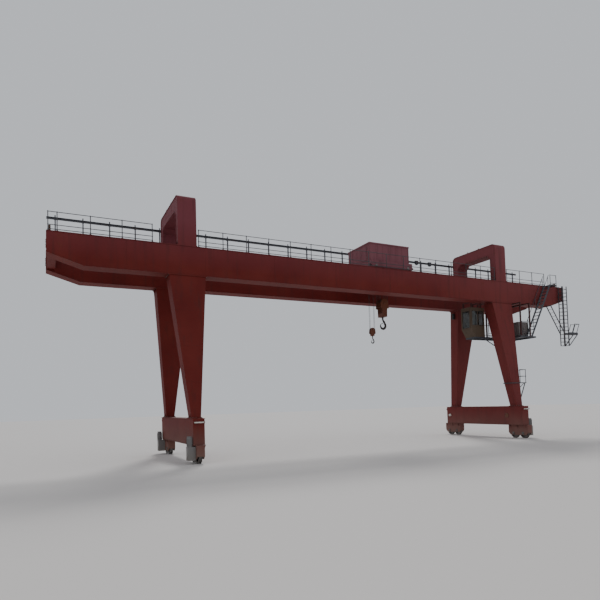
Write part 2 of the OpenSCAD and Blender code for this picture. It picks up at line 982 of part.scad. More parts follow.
// A small landing at the outer side of the right front leg, held by a band round the leg
module leg_landing() {
    reach = 620;
    half = 350;
    deck = 40;
    band = 45;
    brace_y = 200;
    brace_drop = 700;
    face = span / 2 + leg_half_x(landing_z);
    y = leg_middle_y(landing_z);
    end = face + reach - tube / 2;
    color(rail_grey)
        placed()
            difference() {
                union() {
                    post(span / 2, y, 2 * (leg_half_x(landing_z) + band),
                         2 * (leg_half_y(landing_z) + band), [landing_z - 60, landing_z]);
                    block([face - band, face + reach], [y - half, y + half],
                          [landing_z - deck, landing_z]);
                    for (side = [-1, 1]) {
                        bar([span / 2, y + side * brace_y, landing_z - brace_drop],
                            [face + reach - 60, y + side * brace_y, landing_z - deck / 2], tube,
                            $fn = rail_sides);
                        translate([end, y + side * (half - tube), landing_z])
                            cylinder(h = rail_rise, d = tube, $fn = rail_sides);
                        for (rise = [rail_rise, rail_rise / 2])
                            bar_x([face + 60, face + reach], y + side * (half - tube),
                                  landing_z + rise - tube / 2, thin_tube, $fn = rail_sides);
                        translate([face + 60, y + side * (half - tube), landing_z])
                            cylinder(h = rail_rise, d = tube, $fn = rail_sides);
                    }
                    for (rise = [rail_rise, rail_rise / 2])
                        bar_y(end, [y - half, y + half], landing_z + rise - tube / 2, thin_tube,
                              $fn = rail_sides);
                }
                leg_form(RIGHT);
            }
}

tip_ladder_bottom = tip_deck_z - 920;
rung_pitch = 280;
rung = 22;

// Four bars round the hanging ladder's posts at one height
module cage_ring(z) {
    for (y = tip_ladder_y)
        block(tip_ladder_x, [y - rung / 2, y + rung / 2], [z - rung / 2, z + rung / 2]);
    for (x = tip_ladder_x)
        block([x - rung / 2, x + rung / 2], tip_ladder_y, [z - rung / 2, z + rung / 2]);
}

// The caged ladder that hangs outside the front girder's right tip, with a slanting ladder to it
module tip_ladder() {
    rings = floor((girder_top - tip_ladder_bottom) / rung_pitch);
    bracket = 80;
    bracket_rise = 230;
    low_bracket = girder_top - tip_depth + bracket_rise;
    hang_reach = 1980;
    hang_x = tip_x - hang_reach;
    hang_z = girder_bottom - tube / 2;
    slant_rungs = 7;
    foot = [tip_ladder_x[0], tip_deck_z];
    color(rail_grey)
        placed() {
            for (x = tip_ladder_x, y = tip_ladder_y)
                post(x, y, tip_post, tip_post, [tip_ladder_bottom, girder_top]);
            for (i = [0 : rings])
                cage_ring(tip_ladder_bottom + rung + i * rung_pitch);
            for (x = tip_ladder_x) {
                block([x - tip_post / 2, x + tip_post / 2], [tip_ladder_y[1], -girder_spread / 2],
                      [girder_top - bracket, girder_top]);
                block([x - tip_post / 2, x + tip_post / 2],
                      [tip_ladder_y[1], -girder_spread / 2 + flange_lip],
                      [low_bracket, low_bracket + bracket]);
            }
            block([hang_x - tube / 2, hang_x + tube / 2],
                  [tip_ladder_y[0] - tube / 2, -girder_y], [girder_bottom - tube, girder_bottom]);
            for (y = tip_ladder_y)
                bar([hang_x, y, hang_z], [foot[0], y, foot[1]], tube, $fn = rail_sides);
            for (i = [1 : slant_rungs])
                bar_y(hang_x + (foot[0] - hang_x) * i / (slant_rungs + 1), tip_ladder_y,
                      hang_z + (foot[1] - hang_z) * i / (slant_rungs + 1), rung, $fn = rail_sides);
        }
}

// The small platform that stands out from the hanging ladder, on slanting braces
module tip_platform() {
    lean_out = 240;
    x = [tip_ladder_x[1] + tip_post / 2, tip_platform_end - lean_out];
    y = [tip_ladder_y[0] - tip_post / 2, tip_ladder_y[1] + tip_post / 2];
    plate = 50;
    rail_lean = 400;
    rail_height_out = 750;
    rail_feet = [x[1] - 660, x[1] - 160];
    top_z = tip_deck_z + rail_height_out;
    color(track_grey)
        placed() {
            block(x, y, [tip_deck_z - plate, tip_deck_z]);
            for (side = [y[0] + tube / 2, y[1] - tube / 2]) {
                bar([x[0] + tube, side, tip_ladder_bottom + tube],
                    [x[1] - tube, side, tip_deck_z - plate / 2], tube, $fn = rail_sides);
                block([x[0], x[0] + tube], [side - tube / 2, side + tube / 2],
                      [tip_ladder_bottom, tip_deck_z]);
                for (foot = rail_feet)
                    bar([foot, side, tip_deck_z - plate / 2],
                        [foot + rail_lean - tube / 2, side, top_z], tube, $fn = rail_sides);
                bar_x([rail_feet[0] + rail_lean - tube, tip_platform_end - tube / 2], side, top_z,
                      thin_tube, $fn = rail_sides);
            }
            bar_y(tip_platform_end - tube / 2, y, top_z, tube, $fn = rail_sides);
        }
}

rail_top = girder_top + rail_height;
axle_z = rail_top + trolley_wheel / 2;
side_beam = 200;
side_beam_z = [rail_top + 90, rail_top + 480];
cross_beam = 180;
cross_beam_rise = 60;
trolley_axle = 70;
trolley_wheel_x = trolley_length / 2 - 330;
trolley_deck = side_beam_z[1];
trolley_plate = 20;
main_x = trolley_x + main_hook_x;
small_x = trolley_x + small_hook_x;
main_falls = [-210, -70, 70, 210];
small_falls = [-45, 45];

// The trolley frame: side beams over the wheels, cross beams and a deck with rope slots
module trolley_frame() {
    x = [trolley_x - trolley_length / 2, trolley_x + trolley_length / 2];
    slot = [110, 660];
    wheel_gap = 30;
    wheel_room = trolley_wheel / 2 + wheel_gap;
    middle_beam = (main_x - main_sheave / 2 + small_x + small_sheave / 2 - cross_beam) / 2;
    color(house_red)
        placed() {
            trolley_buffers();
            difference() {
                union() {
                    for (side = [FRONT, REAR])
                        at_side(side)
                            block(x, [-trolley_width / 2, -trolley_width / 2 + side_beam],
                                  side_beam_z);
                    for (x0 = [x[0], middle_beam, x[1] - cross_beam])
                        block([x0, x0 + cross_beam],
                              [-trolley_width / 2 + side_beam, trolley_width / 2 - side_beam],
                              [side_beam_z[0] + cross_beam_rise, side_beam_z[1]]);
                    block(x, [-trolley_width / 2, trolley_width / 2],
                          [trolley_deck, trolley_deck + trolley_plate]);
                }
                for (side = [-1, 1], way = [-1, 1])
                    translate([trolley_x + way * trolley_wheel_x, side * rail_y, 0]) {
                        block([-wheel_room, wheel_room], [-2 * wheel_gap, 2 * wheel_gap],
                              [side_beam_z[0] - 1, axle_z + wheel_room]);
                        bar_y(0, [-side_beam, side_beam], axle_z, trolley_axle + 2 * slip);
                    }
                for (rope = [[main_x, main_sheave], [small_x, small_sheave]])
                    for (way = [-1, 1])
                        post(rope[0] + way * rope[1] / 2, 0, slot[0], slot[1],
                             [side_beam_z[0], trolley_deck + trolley_plate + 1]);
            }
        }
}

trolley_buffer = 100;
trolley_buffer_d = 130;

// The round buffers at the trolley's four corners
module trolley_buffers() {
    ends = [trolley_x - trolley_length / 2, trolley_x + trolley_length / 2];
    z = side_beam_z[0] + 110;
    for (y = [-rail_y, rail_y]) {
        bar_x([ends[1], ends[1] + trolley_buffer], y, z, trolley_buffer_d);
        bar_x([ends[0] - trolley_buffer, ends[0]], y, z, trolley_buffer_d);
    }
}

module trolley_wheels() {
    half = 50;
    tread = trolley_wheel / 2;
    rim = tread + 18;
    rim_thick = 14;
    tread_half = half - rim_thick - 2;
    shaft = trolley_axle / 2;
    color(wheel_steel)
        placed()
            for (side = [-1, 1], way = [-1, 1])
                translate([trolley_x + way * trolley_wheel_x, side * rail_y, axle_z])
                    rotate([90, 0, 0])
                        rotate_extrude($fn = 72)
                            polygon([
                                [0, -side_beam / 2], [shaft, -side_beam / 2], [shaft, -half],
                                [rim, -half], [rim, -half + rim_thick],
                                [tread, -tread_half], [tread, tread_half],
                                [rim, half - rim_thick], [rim, half],
                                [shaft, half], [shaft, side_beam / 2], [0, side_beam / 2]
                            ]);
}

// The weather house over the hoists: four walls and a flat roof with eaves
module trolley_house() {
    inset = 30;
    x = [trolley_x - trolley_length / 2 + inset, trolley_x + trolley_length / 2 - inset];
    y = house_width / 2;
    base = trolley_deck + trolley_plate;
    eave = 25;
    color(house_red)
        placed() {
            difference() {
                block(x, [-y, y], [base, house_top - house_wall]);
                block([x[0] + house_wall, x[1] - house_wall], [-y + house_wall, y - house_wall],
                      [base - 1, house_top - house_wall]);
            }
            block([x[0] - eave, x[1] + eave], [-y - eave, y + eave],
                  [house_top - house_wall, house_top]);
        }
}

drum_z = trolley_deck + trolley_plate + main_sheave / 2 + 110;
small_drum_z = trolley_deck + trolley_plate + small_sheave / 2 + 130;

// A drum across the trolley on two bearing blocks
module drum(x, z, d, rope, half) {
    disc = 40;
    shaft = [110, 160];
    bearing = [240, 80];
    bearing_out = 120;
    bearing_rise = 90;
    bar_y(x, [-half, half], z, d - rope);
    for (side = [FRONT, REAR])
        at_side(side) {
            bar_y(x, [-half - disc, -half], z, d + disc);
            bar_y(x, [-half - shaft[1], -half], z, shaft[0]);
            post(x, -half - bearing_out, bearing[0], bearing[1],
                 [trolley_deck + trolley_plate, z + bearing_rise]);
        }
}

module hoist_drums() {
    color(wheel_steel)
        placed() {
            drum(main_x, drum_z, main_sheave, main_rope, 820);
            drum(small_x, small_drum_z, small_sheave, small_rope, 620);
        }
}

main_block_z = main_hook_bottom + 1750;
small_block_z = small_hook_bottom + 860;

// The falls of one hoist, from the sides of its drum to the sides of its sheaves
module falls(x, d, rope, ys, z) {
    for (way = [-1, 1], y = ys)
        translate([x + way * d / 2, y, z[0]])
            cylinder(h = z[1] - z[0], d = rope, $fn = 16);
}

module main_ropes() {
    color(track_grey)
        placed()
            falls(main_x, main_sheave, main_rope, main_falls, [main_block_z, drum_z]);
}

module small_ropes() {
    color(track_grey)
        placed()
            falls(small_x, small_sheave, small_rope, small_falls, [small_block_z, small_drum_z]);
}

// Half width and height of a cheek plate's corners, in sheave diameters from the sheaves' axle
cheek_corners = [[0.30, 0.42], [0.50, 0.18], [0.57, -0.50], [0.57, -0.62], [0.34, -0.68]];

// A bottom block: grooved sheaves between cheek plates, and a crosshead bored for the shank
module hook_block_form(x, z, d, rope, ys, cheek_y, drop, shank) {
    groove = rope / 2 + slip;
    rim = 6;
    width = rope + 26;
    plate = 20;
    head = shank * 2.2;
    foot = [head * 0.7, z - drop - head / 2];
    half = [for (corner = cheek_corners) [corner[0] * d, z + corner[1] * d]];
    for (y = ys)
        translate([x, y, z])
            rotate([90, 0, 0])
                rotate_extrude($fn = 72)
                    polygon([
                        [0, -width / 2], [d / 2 + rim, -width / 2],
                        [d / 2 - groove, -rope / 2 + 2], [d / 2 - groove, rope / 2 - 2],
                        [d / 2 + rim, width / 2], [0, width / 2]
                    ]);
    bar_y(x, [-cheek_y - plate, cheek_y + plate], z, d * 0.2);
    difference() {
        union() {
            for (y = [-cheek_y - plate, cheek_y])
                along_y([y, y + plate])
                    translate([x, 0])
                        polygon(concat(
                            half, [foot], [[-foot[0], foot[1]]],
                            [for (i = [len(half) - 1 : -1 : 0]) [-half[i][0], half[i][1]]]
                        ));
            block([x - foot[0], x + foot[0]], [-cheek_y, cheek_y], [foot[1], foot[1] + head]);
        }
        translate([x, 0, z - drop - head])
            cylinder(h = 2 * head, d = shank + 2 * slip);
    }
}

main_shank = 110;
small_shank = 62;
main_drop = main_sheave * 1.4;
small_drop = small_sheave * 0.85;
main_cheek_y = 252;
small_cheek_y = 78;

module main_hook_block() {
    color(house_red)
        placed()
            hook_block_form(main_x, main_block_z, main_sheave, main_rope, main_falls,
                            main_cheek_y, main_drop, main_shank);
}

module small_hook_block() {
    color(house_red)
        placed()
            hook_block_form(small_x, small_block_z, small_sheave, small_rope, small_falls,
                            small_cheek_y, small_drop, small_shank);
}

// Middle line of a hook in units of its throat radius, at t from 0 (shank) to 1 (point)
function hook_middle(t) =
    t < 0.25
        ? let (u = t / 0.25, a = 62 * u)
            [1.36 * sin(a) * u * 0.93, 2.9 - 1.67 * u]
        : let (a = 58 - (t - 0.25) / 0.75 * 262)
            [1.36 * cos(a) * (1 - 0.06 * t), 1.36 * sin(a)];

// Half thickness of a hook along its middle line, in the same units
function hook_half(t) =
    t < 0.25 ? 0.36 + 0.1 * t / 0.25
    : t < 0.6 ? 0.46 + 0.08 * (t - 0.25) / 0.35
    : 0.54 - 0.4 * pow((t - 0.6) / 0.4, 1.6);

hook_rings = 30;
hook_sides = 12;
hook_shank_at = 2.85;
hook_low = 1.36 + 0.54;
nut_wide = 1.5;
crosshead_half = 1.1;

// Points round the middle line, a ring at a time
function hook_points(r) = [
    for (i = [0 : hook_rings])
        let (t = i / hook_rings,
             m = hook_middle(t),
             ahead = hook_middle(min(1, t + 0.01)),
             behind = hook_middle(max(0, t - 0.01)),
             way = (ahead - behind) / norm(ahead - behind),
             out = [-way[1], way[0]],
             half = hook_half(t))
            for (j = [0 : hook_sides - 1])
                let (a = 360 * j / hook_sides)
                    [r * (m[0] + out[0] * half * cos(a)),
                     r * 0.78 * half * sin(a),
                     r * (m[1] + out[1] * half * cos(a))]
];

hook_faces = concat(
    [for (i = [0 : hook_rings - 1], j = [0 : hook_sides - 1])
        let (k = (j + 1) % hook_sides, a = i * hook_sides, b = a + hook_sides)
            [a + j, a + k, b + k, b + j]],
    [[for (j = [hook_sides - 1 : -1 : 0]) j]],
    [[for (j = [0 : hook_sides - 1]) hook_rings * hook_sides + j]]
);

// A forged hook with its shank, its underside at a height
module hook_form(x, bottom, throat, shank, top) {
    middle = bottom + hook_low * throat;
    shank_z = middle + hook_shank_at * throat;
    translate([x, 0, middle])
        polyhedron(points = hook_points(throat), faces = hook_faces);
    translate([x, 0, shank_z])
        cylinder(h = top - shank_z, d = shank);
}

main_throat = 150;
small_throat = 78;

module main_hook() {
    nut = 40;
    top = main_block_z - main_drop + main_shank * crosshead_half;
    color(hook_black)
        placed() {
            hook_form(main_x, main_hook_bottom, main_throat, main_shank, top + nut);
            translate([main_x, 0, top + slip])
                cylinder(h = nut, d = main_shank * nut_wide);
        }
}

module small_hook() {
    nut = 24;
    top = small_block_z - small_drop + small_shank * crosshead_half;
    color(hook_black)
        placed() {
            hook_form(small_x, small_hook_bottom, small_throat, small_shank, top + nut);
            translate([small_x, 0, top + slip])
                cylinder(h = nut, d = small_shank * nut_wide);
        }
}

front_girder();
rear_girder();
left_end_beam();
right_end_beam();
left_saddle();
right_saddle();
left_front_leg();
left_rear_leg();
right_front_leg();
right_rear_leg();
left_ground_beam();
right_ground_beam();
left_front_bogie();
left_rear_bogie();
right_front_bogie();
right_rear_bogie();
left_front_wheels();
left_rear_wheels();
right_front_wheels();
right_rear_wheels();
left_drives();
right_drives();
front_trolley_rail();
rear_trolley_rail();
left_handrail();
middle_handrail();
right_handrail();
cable_track();
cabin_shell();
cabin_roof();
cabin_glass();
cabin_hangers();
cabin_deck();
deck_handrail();
deck_cabinet();
stairs();
leg_landing();
tip_ladder();
tip_platform();
trolley_frame();
trolley_wheels();
trolley_house();
hoist_drums();
main_ropes();
small_ropes();
main_hook_block();
small_hook_block();
main_hook();
small_hook();
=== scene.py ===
"""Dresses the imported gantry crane: paint and steel finishes, small fittings, floor, light and camera."""

import json
import math
from itertools import product

import bmesh
import bpy
from mathutils import Matrix, Vector


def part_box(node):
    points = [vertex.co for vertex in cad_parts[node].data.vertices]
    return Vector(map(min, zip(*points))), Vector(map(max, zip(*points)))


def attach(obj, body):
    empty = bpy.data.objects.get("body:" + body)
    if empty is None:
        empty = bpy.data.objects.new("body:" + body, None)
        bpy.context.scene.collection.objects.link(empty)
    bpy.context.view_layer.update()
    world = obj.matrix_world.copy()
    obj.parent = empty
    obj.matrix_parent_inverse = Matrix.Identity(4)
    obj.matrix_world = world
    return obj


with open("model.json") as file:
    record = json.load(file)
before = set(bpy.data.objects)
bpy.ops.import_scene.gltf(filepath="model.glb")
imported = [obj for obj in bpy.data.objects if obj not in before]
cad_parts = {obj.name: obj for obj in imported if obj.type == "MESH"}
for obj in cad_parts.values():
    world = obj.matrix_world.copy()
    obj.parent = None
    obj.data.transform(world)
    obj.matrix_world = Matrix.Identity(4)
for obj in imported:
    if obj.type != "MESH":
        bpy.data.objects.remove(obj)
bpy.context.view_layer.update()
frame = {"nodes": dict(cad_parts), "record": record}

# Main places of the crane, in metres in the frame's coordinates
FRONT, REAR = -1, 1
LEFT, RIGHT = -1, 1
GIRDER_LOW, GIRDER_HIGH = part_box("front_girder")
GIRDER_TOP = GIRDER_HIGH[2]
GIRDER_BOTTOM = GIRDER_LOW[2]
GIRDER_OUTER = -GIRDER_LOW[1]
GIRDER_INNER = -GIRDER_HIGH[1]
GIRDER_ENDS = (GIRDER_LOW[0], GIRDER_HIGH[0])
TIP_BOTTOM = GIRDER_TOP - 1.0
TAPER = 1.6
FLANGE = 0.024
LIP = 0.03
JOINT_PLATE = 0.032
MIDDLE = (GIRDER_ENDS[0] + GIRDER_ENDS[1]) / 2
FRAME_X = {LEFT: MIDDLE - 11.0, RIGHT: MIDDLE + 11.0}
BEAM_LOW, BEAM_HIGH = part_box("left_ground_beam")
BEAM_HALF_X = (BEAM_HIGH[0] - BEAM_LOW[0]) / 2
LEG_FOOT_Z = BEAM_HIGH[2] + JOINT_PLATE
LEG_TOP_Z = GIRDER_BOTTOM - JOINT_PLATE
LEG_PLATE_EDGE = 0.06
LEG_FOOT_HALF = (0.23, 0.30)
LEG_TOP_HALF_Y = 0.395
LEG_TOP_HALF_X = {}
for end, leg in ((LEFT, "left_front_leg"), (RIGHT, "right_front_leg")):
    LEG_TOP_HALF_X[end] = (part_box(leg)[1][0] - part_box(leg)[0][0]) / 2 - LEG_PLATE_EDGE
LEG_FOOT_Y = 2.82
LEG_TOP_Y = 1.635
RAIL_Y = 1.40
TUBE = 0.042
BOGIE_LOW, BOGIE_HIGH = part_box("left_front_bogie")
BOGIE_Y = -(BOGIE_LOW[1] + BOGIE_HIGH[1]) / 2
WHEEL_STEP = 0.38
CARRIAGE_X = (6.50, 7.72)
AXLE_Z = 0.326


class Piece:
    """Faces gathered in the frame's coordinates, made into one object that rides on a body."""

    def __init__(self, name, slot, body="crane", look=None):
        self.name = name
        self.slot = slot
        self.body = body
        self.look = look or slot
        self.points = []
        self.faces = []

    def add(self, points, faces):
        start = len(self.points)
        self.points.extend(tuple(point) for point in points)
        self.faces.extend(tuple(start + corner for corner in face) for face in faces)

    def block(self, low, high, edge=0.004):
        """A box with chamfered edges."""
        points = []
        for corner in product((0, 1), repeat=3):
            for axis in range(3):
                inset = [0 if k == axis else edge for k in range(3)]
                points.append([high[k] - inset[k] if corner[k] else low[k] + inset[k] for k in range(3)])

        def spot(corner, axis):
            return (corner[0] * 4 + corner[1] * 2 + corner[2]) * 3 + axis

        faces = [[spot(corner, axis) for axis in range(3)] for corner in product((0, 1), repeat=3)]
        for axis in range(3):
            j, k = [other for other in range(3) if other != axis]

            def place(end, a, b):
                corner = [0, 0, 0]
                corner[axis], corner[j], corner[k] = end, a, b
                return corner

            for end in (0, 1):
                faces.append([spot(place(end, a, b), axis) for a, b in ((0, 0), (1, 0), (1, 1), (0, 1))])
            for a, b in product((0, 1), repeat=2):
                near, far = place(0, a, b), place(1, a, b)
                faces.append([spot(near, j), spot(far, j), spot(far, k), spot(near, k)])
        self.add(points, faces)

    def post(self, x, y, z, size, edge=0.004):
        """A chamfered box given by its middle and its size."""
        middle = (x, y, z)
        self.block([middle[k] - size[k] / 2 for k in range(3)], [middle[k] + size[k] / 2 for k in range(3)],
                   edge)

    def turned(self, foot, way, profile, sides=16):
        """A profile of radius and height pairs turned round an axis that starts at foot."""
        foot, way = Vector(foot), Vector(way).normalized()
        side = way.orthogonal().normalized()
        other = way.cross(side)
        points, faces, rings = [], [], []
        for radius, height in profile:
            ring = []
            for i in range(sides if radius > 0 else 1):
                angle = 2 * math.pi * i / sides
                ring.append(len(points))
                points.append(foot + way * height
                              + (side * math.cos(angle) + other * math.sin(angle)) * radius)
            rings.append(ring)
        for low, high in zip(rings, rings[1:]):
            for i in range(sides):
                j = (i + 1) % sides
                if len(low) == 1:
                    faces.append([low[0], high[j], high[i]])
                elif len(high) == 1:
                    faces.append([low[i], low[j], high[0]])
                else:
                    faces.append([low[i], low[j], high[j], high[i]])
        for ring in (rings[0], rings[-1]):
            if len(ring) > 1:
                faces.append(ring)
        self.add(points, faces)

    def bolt(self, foot, way, size=0.03):
        """A hexagon head on its washer."""
        self.turned(foot, way, [(size * 0.62, 0), (size * 0.62, size * 0.1)], 12)
        self.turned(foot, way, [(size * 0.5, size * 0.1), (size * 0.5, size * 0.6), (size * 0.4, size * 0.72)], 6)

    def dome(self, foot, way, radius, height, sides=16, neck=0.0):
        """A rounded cap on a short straight neck."""
        profile = [(radius, 0), (radius, neck + 0.0005)]
        for i in range(1, 5):
            angle = math.pi / 2 * i / 5
            profile.append((radius * math.cos(angle), neck + height * math.sin(angle)))
        profile.append((0, neck + height))
        self.turned(foot, way, profile, sides)

    def tube(self, path, radius, sides=8, closed=False):
        """A round bar along a path of points."""
        path = [Vector(point) for point in path]
        count = len(path)
        points, faces = [], []
        side = None
        for i, here in enumerate(path):
            before = path[i - 1] if (i or closed) else here
            after = path[(i + 1) % count] if (i < count - 1 or closed) else here
            way = ((here - before).normalized() + (after - here).normalized()).normalized()
            if side is None:
                side = way.orthogonal().normalized()
            side = (side - way * side.dot(way)).normalized()
            other = way.cross(side)
            for k in range(sides):
                angle = 2 * math.pi * k / sides
                points.append(here + (side * math.cos(angle) + other * math.sin(angle)) * radius)
        for i in range(count if closed else count - 1):
            for k in range(sides):
                a, b = i * sides, ((i + 1) % count) * sides
                n = (k + 1) % sides
                faces.append([a + k, a + n, b + n, b + k])
        if not closed:
            faces.append(list(range(sides)))
            faces.append(list(range((count - 1) * sides, count * sides)))
        self.add(points, faces)

    def plate(self, outline, way, thick):
        """A flat plate: an outline of points, thickened along a direction."""
        outline = [Vector(point) for point in outline]
        step = Vector(way).normalized() * thick
        count = len(outline)
        points = outline + [point + step for point in outline]
        faces = [list(range(count)), list(range(count, 2 * count))]
        faces += [[i, (i + 1) % count, count + (i + 1) % count, count + i] for i in range(count)]
        self.add(points, faces)

    def make(self):
        mesh = bpy.data.meshes.new(self.name)
        mesh.from_pydata(self.points, [], self.faces)
        work = bmesh.new()
        work.from_mesh(mesh)
        bmesh.ops.recalc_face_normals(work, faces=work.faces)
        work.to_mesh(mesh)
        work.free()
        for polygon in mesh.polygons:
            polygon.use_smooth = True
        mesh.set_sharp_from_angle(angle=math.radians(32))
        mesh.materials.append(LOOKS[self.look])
        piece = bpy.data.objects.new(self.name, mesh)
        bpy.context.scene.collection.objects.link(piece)
        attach(piece, self.body)
        return piece


def grown(outline, away):
    """A flat outline, its corners in counterclockwise order, moved outward on all sides."""
    count = len(outline)
    moved = []
    for i, here in enumerate(outline):
        before, after = outline[i - 1], outline[(i + 1) % count]
        sides = []
        for a, b in ((before, here), (here, after)):
            length = math.hypot(b[0] - a[0], b[1] - a[1])
            sides.append(((b[1] - a[1]) / length, -(b[0] - a[0]) / length))
        turn = 1 + sides[0][0] * sides[1][0] + sides[0][1] * sides[1][1]
        moved.append((here[0] + away * (sides[0][0] + sides[1][0]) / turn,
                      here[1] + away * (sides[0][1] + sides[1][1]) / turn))
    return moved


def spread(start, end, count):
    """Evenly spaced numbers from start to end."""
    return [start + (end - start) * i / (count - 1) for i in range(count)]


class Look:
    """A procedural material built on the frame's own coordinates."""

    def __init__(self, name):
        self.material = bpy.data.materials.new(name)
        self.material.use_nodes = True
        self.tree = self.material.node_tree
        self.shader = self.tree.nodes["Principled BSDF"]
        self.where = self.node("ShaderNodeTexCoord").outputs["Object"]
        self.parts = self.node("ShaderNodeSeparateXYZ")
        self.tree.links.new(self.where, self.parts.inputs[0])
        self.geometry = self.node("ShaderNodeNewGeometry")

    def node(self, kind, **values):
        made = self.tree.nodes.new(kind)
        for key, value in values.items():
            setattr(made, key, value)
        return made

    def feed(self, socket, value):
        if isinstance(value, bpy.types.NodeSocket):
            self.tree.links.new(value, socket)
        else:
            socket.default_value = value

    def noise(self, scale, detail=4, stretch=(1, 1, 1), rough=0.55):
        mapping = self.node("ShaderNodeMapping")
        mapping.inputs["Scale"].default_value = stretch
        self.tree.links.new(self.where, mapping.inputs["Vector"])
        made = self.node("ShaderNodeTexNoise")
        made.inputs["Scale"].default_value = scale
        made.inputs["Detail"].default_value = detail
        made.inputs["Roughness"].default_value = rough
        self.tree.links.new(mapping.outputs["Vector"], made.inputs["Vector"])
        return made.outputs["Fac"]

    def span(self, value, low, high, out_low=0.0, out_high=1.0):
        """Maps the stretch from low to high onto an output range, and holds it there outside."""
        made = self.node("ShaderNodeMapRange")
        self.feed(made.inputs["Value"], value)
        made.inputs["From Min"].default_value = low
        made.inputs["From Max"].default_value = high
        made.inputs["To Min"].default_value = out_low
        made.inputs["To Max"].default_value = out_high
        return made.outputs["Result"]

    def math(self, operation, a, b=0.0):
        made = self.node("ShaderNodeMath", operation=operation)
        self.feed(made.inputs[0], a)
        self.feed(made.inputs[1], b)
        return made.outputs[0]

    def mix(self, share, a, b):
        made = self.node("ShaderNodeMix", data_type="RGBA")
        self.feed(made.inputs["Factor"], share)
        self.feed(made.inputs["A"], a)
        self.feed(made.inputs["B"], b)
        return made.outputs["Result"]

    def wear(self, radius):
        """High where a rounded edge would turn away from the flat face, for rubbed paint."""
        bevel = self.node("ShaderNodeBevel", samples=4)
        bevel.inputs["Radius"].default_value = radius
        dot = self.node("ShaderNodeVectorMath", operation="DOT_PRODUCT")
        self.tree.links.new(bevel.outputs["Normal"], dot.inputs[0])
        self.tree.links.new(self.geometry.outputs["Normal"], dot.inputs[1])
        return self.span(dot.outputs["Value"], 0.995, 0.9)

    def up(self, low, high):
        """High on faces that look upward."""
        normal = self.node("ShaderNodeSeparateXYZ")
        self.tree.links.new(self.geometry.outputs["Normal"], normal.inputs[0])
        return self.span(normal.outputs["Z"], low, high)

    def bump(self, height, strength, distance, below=None):
        made = self.node("ShaderNodeBump")
        made.inputs["Strength"].default_value = strength
        made.inputs["Distance"].default_value = distance
        self.feed(made.inputs["Height"], height)
        if below is not None:
            self.tree.links.new(below, made.inputs["Normal"])
        return made.outputs["Normal"]

    def finish(self, colour, rough, normal=None, metallic=0.0, specular=0.5):
        self.feed(self.shader.inputs["Base Color"], colour)
        self.feed(self.shader.inputs["Roughness"], rough)
        self.shader.inputs["Metallic"].default_value = metallic
        self.shader.inputs["Specular IOR Level"].default_value = specular
        if normal is not None:
            self.tree.links.new(normal, self.shader.inputs["Normal"])
        return self.material


RUST = (0.13, 0.042, 0.018, 1)
GRIME = (0.022, 0.017, 0.015, 1)
DUST = (0.23, 0.19, 0.155, 1)
PRIMER = (0.085, 0.035, 0.028, 1)
PALER_RED = (0.20, 0.048, 0.048, 1)
PAINTED_SKY_LIGHT_Z = (9.7, 12.2)
RIGHT_PALER_X = (3.0, 11.0)


def paint(name, colour, faded, rough=0.5, grime=0.5, rust=0.5, wavy=0.006, grain=0.0015, painted_sky_tint=None):
    """Site paint: cloudy tone, rain streaks, rust blooms, rubbed edges and dust near the ground; given a sky tint, also
    a painted sky light that turns the red paler and cooler high up, and a paler red towards the right end.
    """
    look = Look(name)
    cloud = look.noise(0.55, 6)
    fleck = look.noise(19, 5)
    tone = look.mix(look.span(cloud, 0.32, 0.68), colour, faded)
    if painted_sky_tint:
        # Painted sky light: the red turns paler and cooler high on the crane, standing in for the light of the sky on
        # the upper structure.
        high = look.span(look.parts.outputs["Z"], PAINTED_SKY_LIGHT_Z[0], PAINTED_SKY_LIGHT_Z[1], 0.0, 0.9)
        tone = look.mix(high, tone, painted_sky_tint)
        # Paler red towards the right end of the crane.
        far = look.span(look.parts.outputs["X"], RIGHT_PALER_X[0], RIGHT_PALER_X[1], 0.0, 0.45)
        tone = look.mix(far, tone, PALER_RED)
    streak = look.noise(1.0, 7, stretch=(4.5, 4.5, 0.3), rough=0.62)
    drip = look.span(streak, 0.52, 0.8, 0.0, grime)
    tone = look.mix(drip, tone, GRIME)
    bloom = look.math("MULTIPLY", look.span(look.noise(1.7, 9, rough=0.66), 0.6, 0.7),
                      look.span(fleck, 0.42, 0.62))
    bloom = look.math("MULTIPLY", bloom, rust)
    tone = look.mix(bloom, tone, RUST)
    worn = look.math("MULTIPLY", look.wear(0.012), look.span(fleck, 0.4, 0.65))
    tone = look.mix(worn, tone, PRIMER)
    low = look.span(look.parts.outputs["Z"], 1.9, 0.1)
    dusty = look.math("MULTIPLY", low, look.span(cloud, 0.25, 0.75, 0.25, 0.75))
    lying = look.math("MULTIPLY", look.up(0.75, 1.0), look.span(streak, 0.35, 0.7, 0.12, 0.5))
    tone = look.mix(look.math("MAXIMUM", dusty, lying), tone, DUST)
    shine = look.math("ADD", look.span(fleck, 0.2, 0.8, rough - 0.07, rough + 0.1),
                      look.math("MULTIPLY", look.math("MAXIMUM", bloom, dusty), 0.25))
    plates = look.bump(look.noise(0.9, 2), 0.35, wavy)
    normal = look.bump(look.math("ADD", fleck, look.math("MULTIPLY", bloom, 2.0)), 0.4, grain, plates)
    return look.finish(tone, shine, normal, specular=0.2)


def bare_steel(name, colour, bright, rough=0.45, rust=0.5, metallic=0.8, grain=0.001):
    """Rolled or forged steel: mill tone, rust film, bright rubbed edges."""
    look = Look(name)
    cloud = look.noise(1.6, 6)
    fleck = look.noise(36, 6)
    tone = look.mix(look.span(cloud, 0.3, 0.7), colour, bright)
    film = look.math("MULTIPLY", look.span(look.noise(5.5, 8, rough=0.7), 0.45, 0.68), rust)
    tone = look.mix(film, tone, RUST)
    tone = look.mix(look.math("MULTIPLY", look.wear(0.006), 0.6), tone, bright)
    shine = look.span(fleck, 0.25, 0.75, rough - 0.1, rough + 0.18)
    normal = look.bump(fleck, 0.5, grain)
    return look.finish(tone, shine, normal, metallic=metallic)


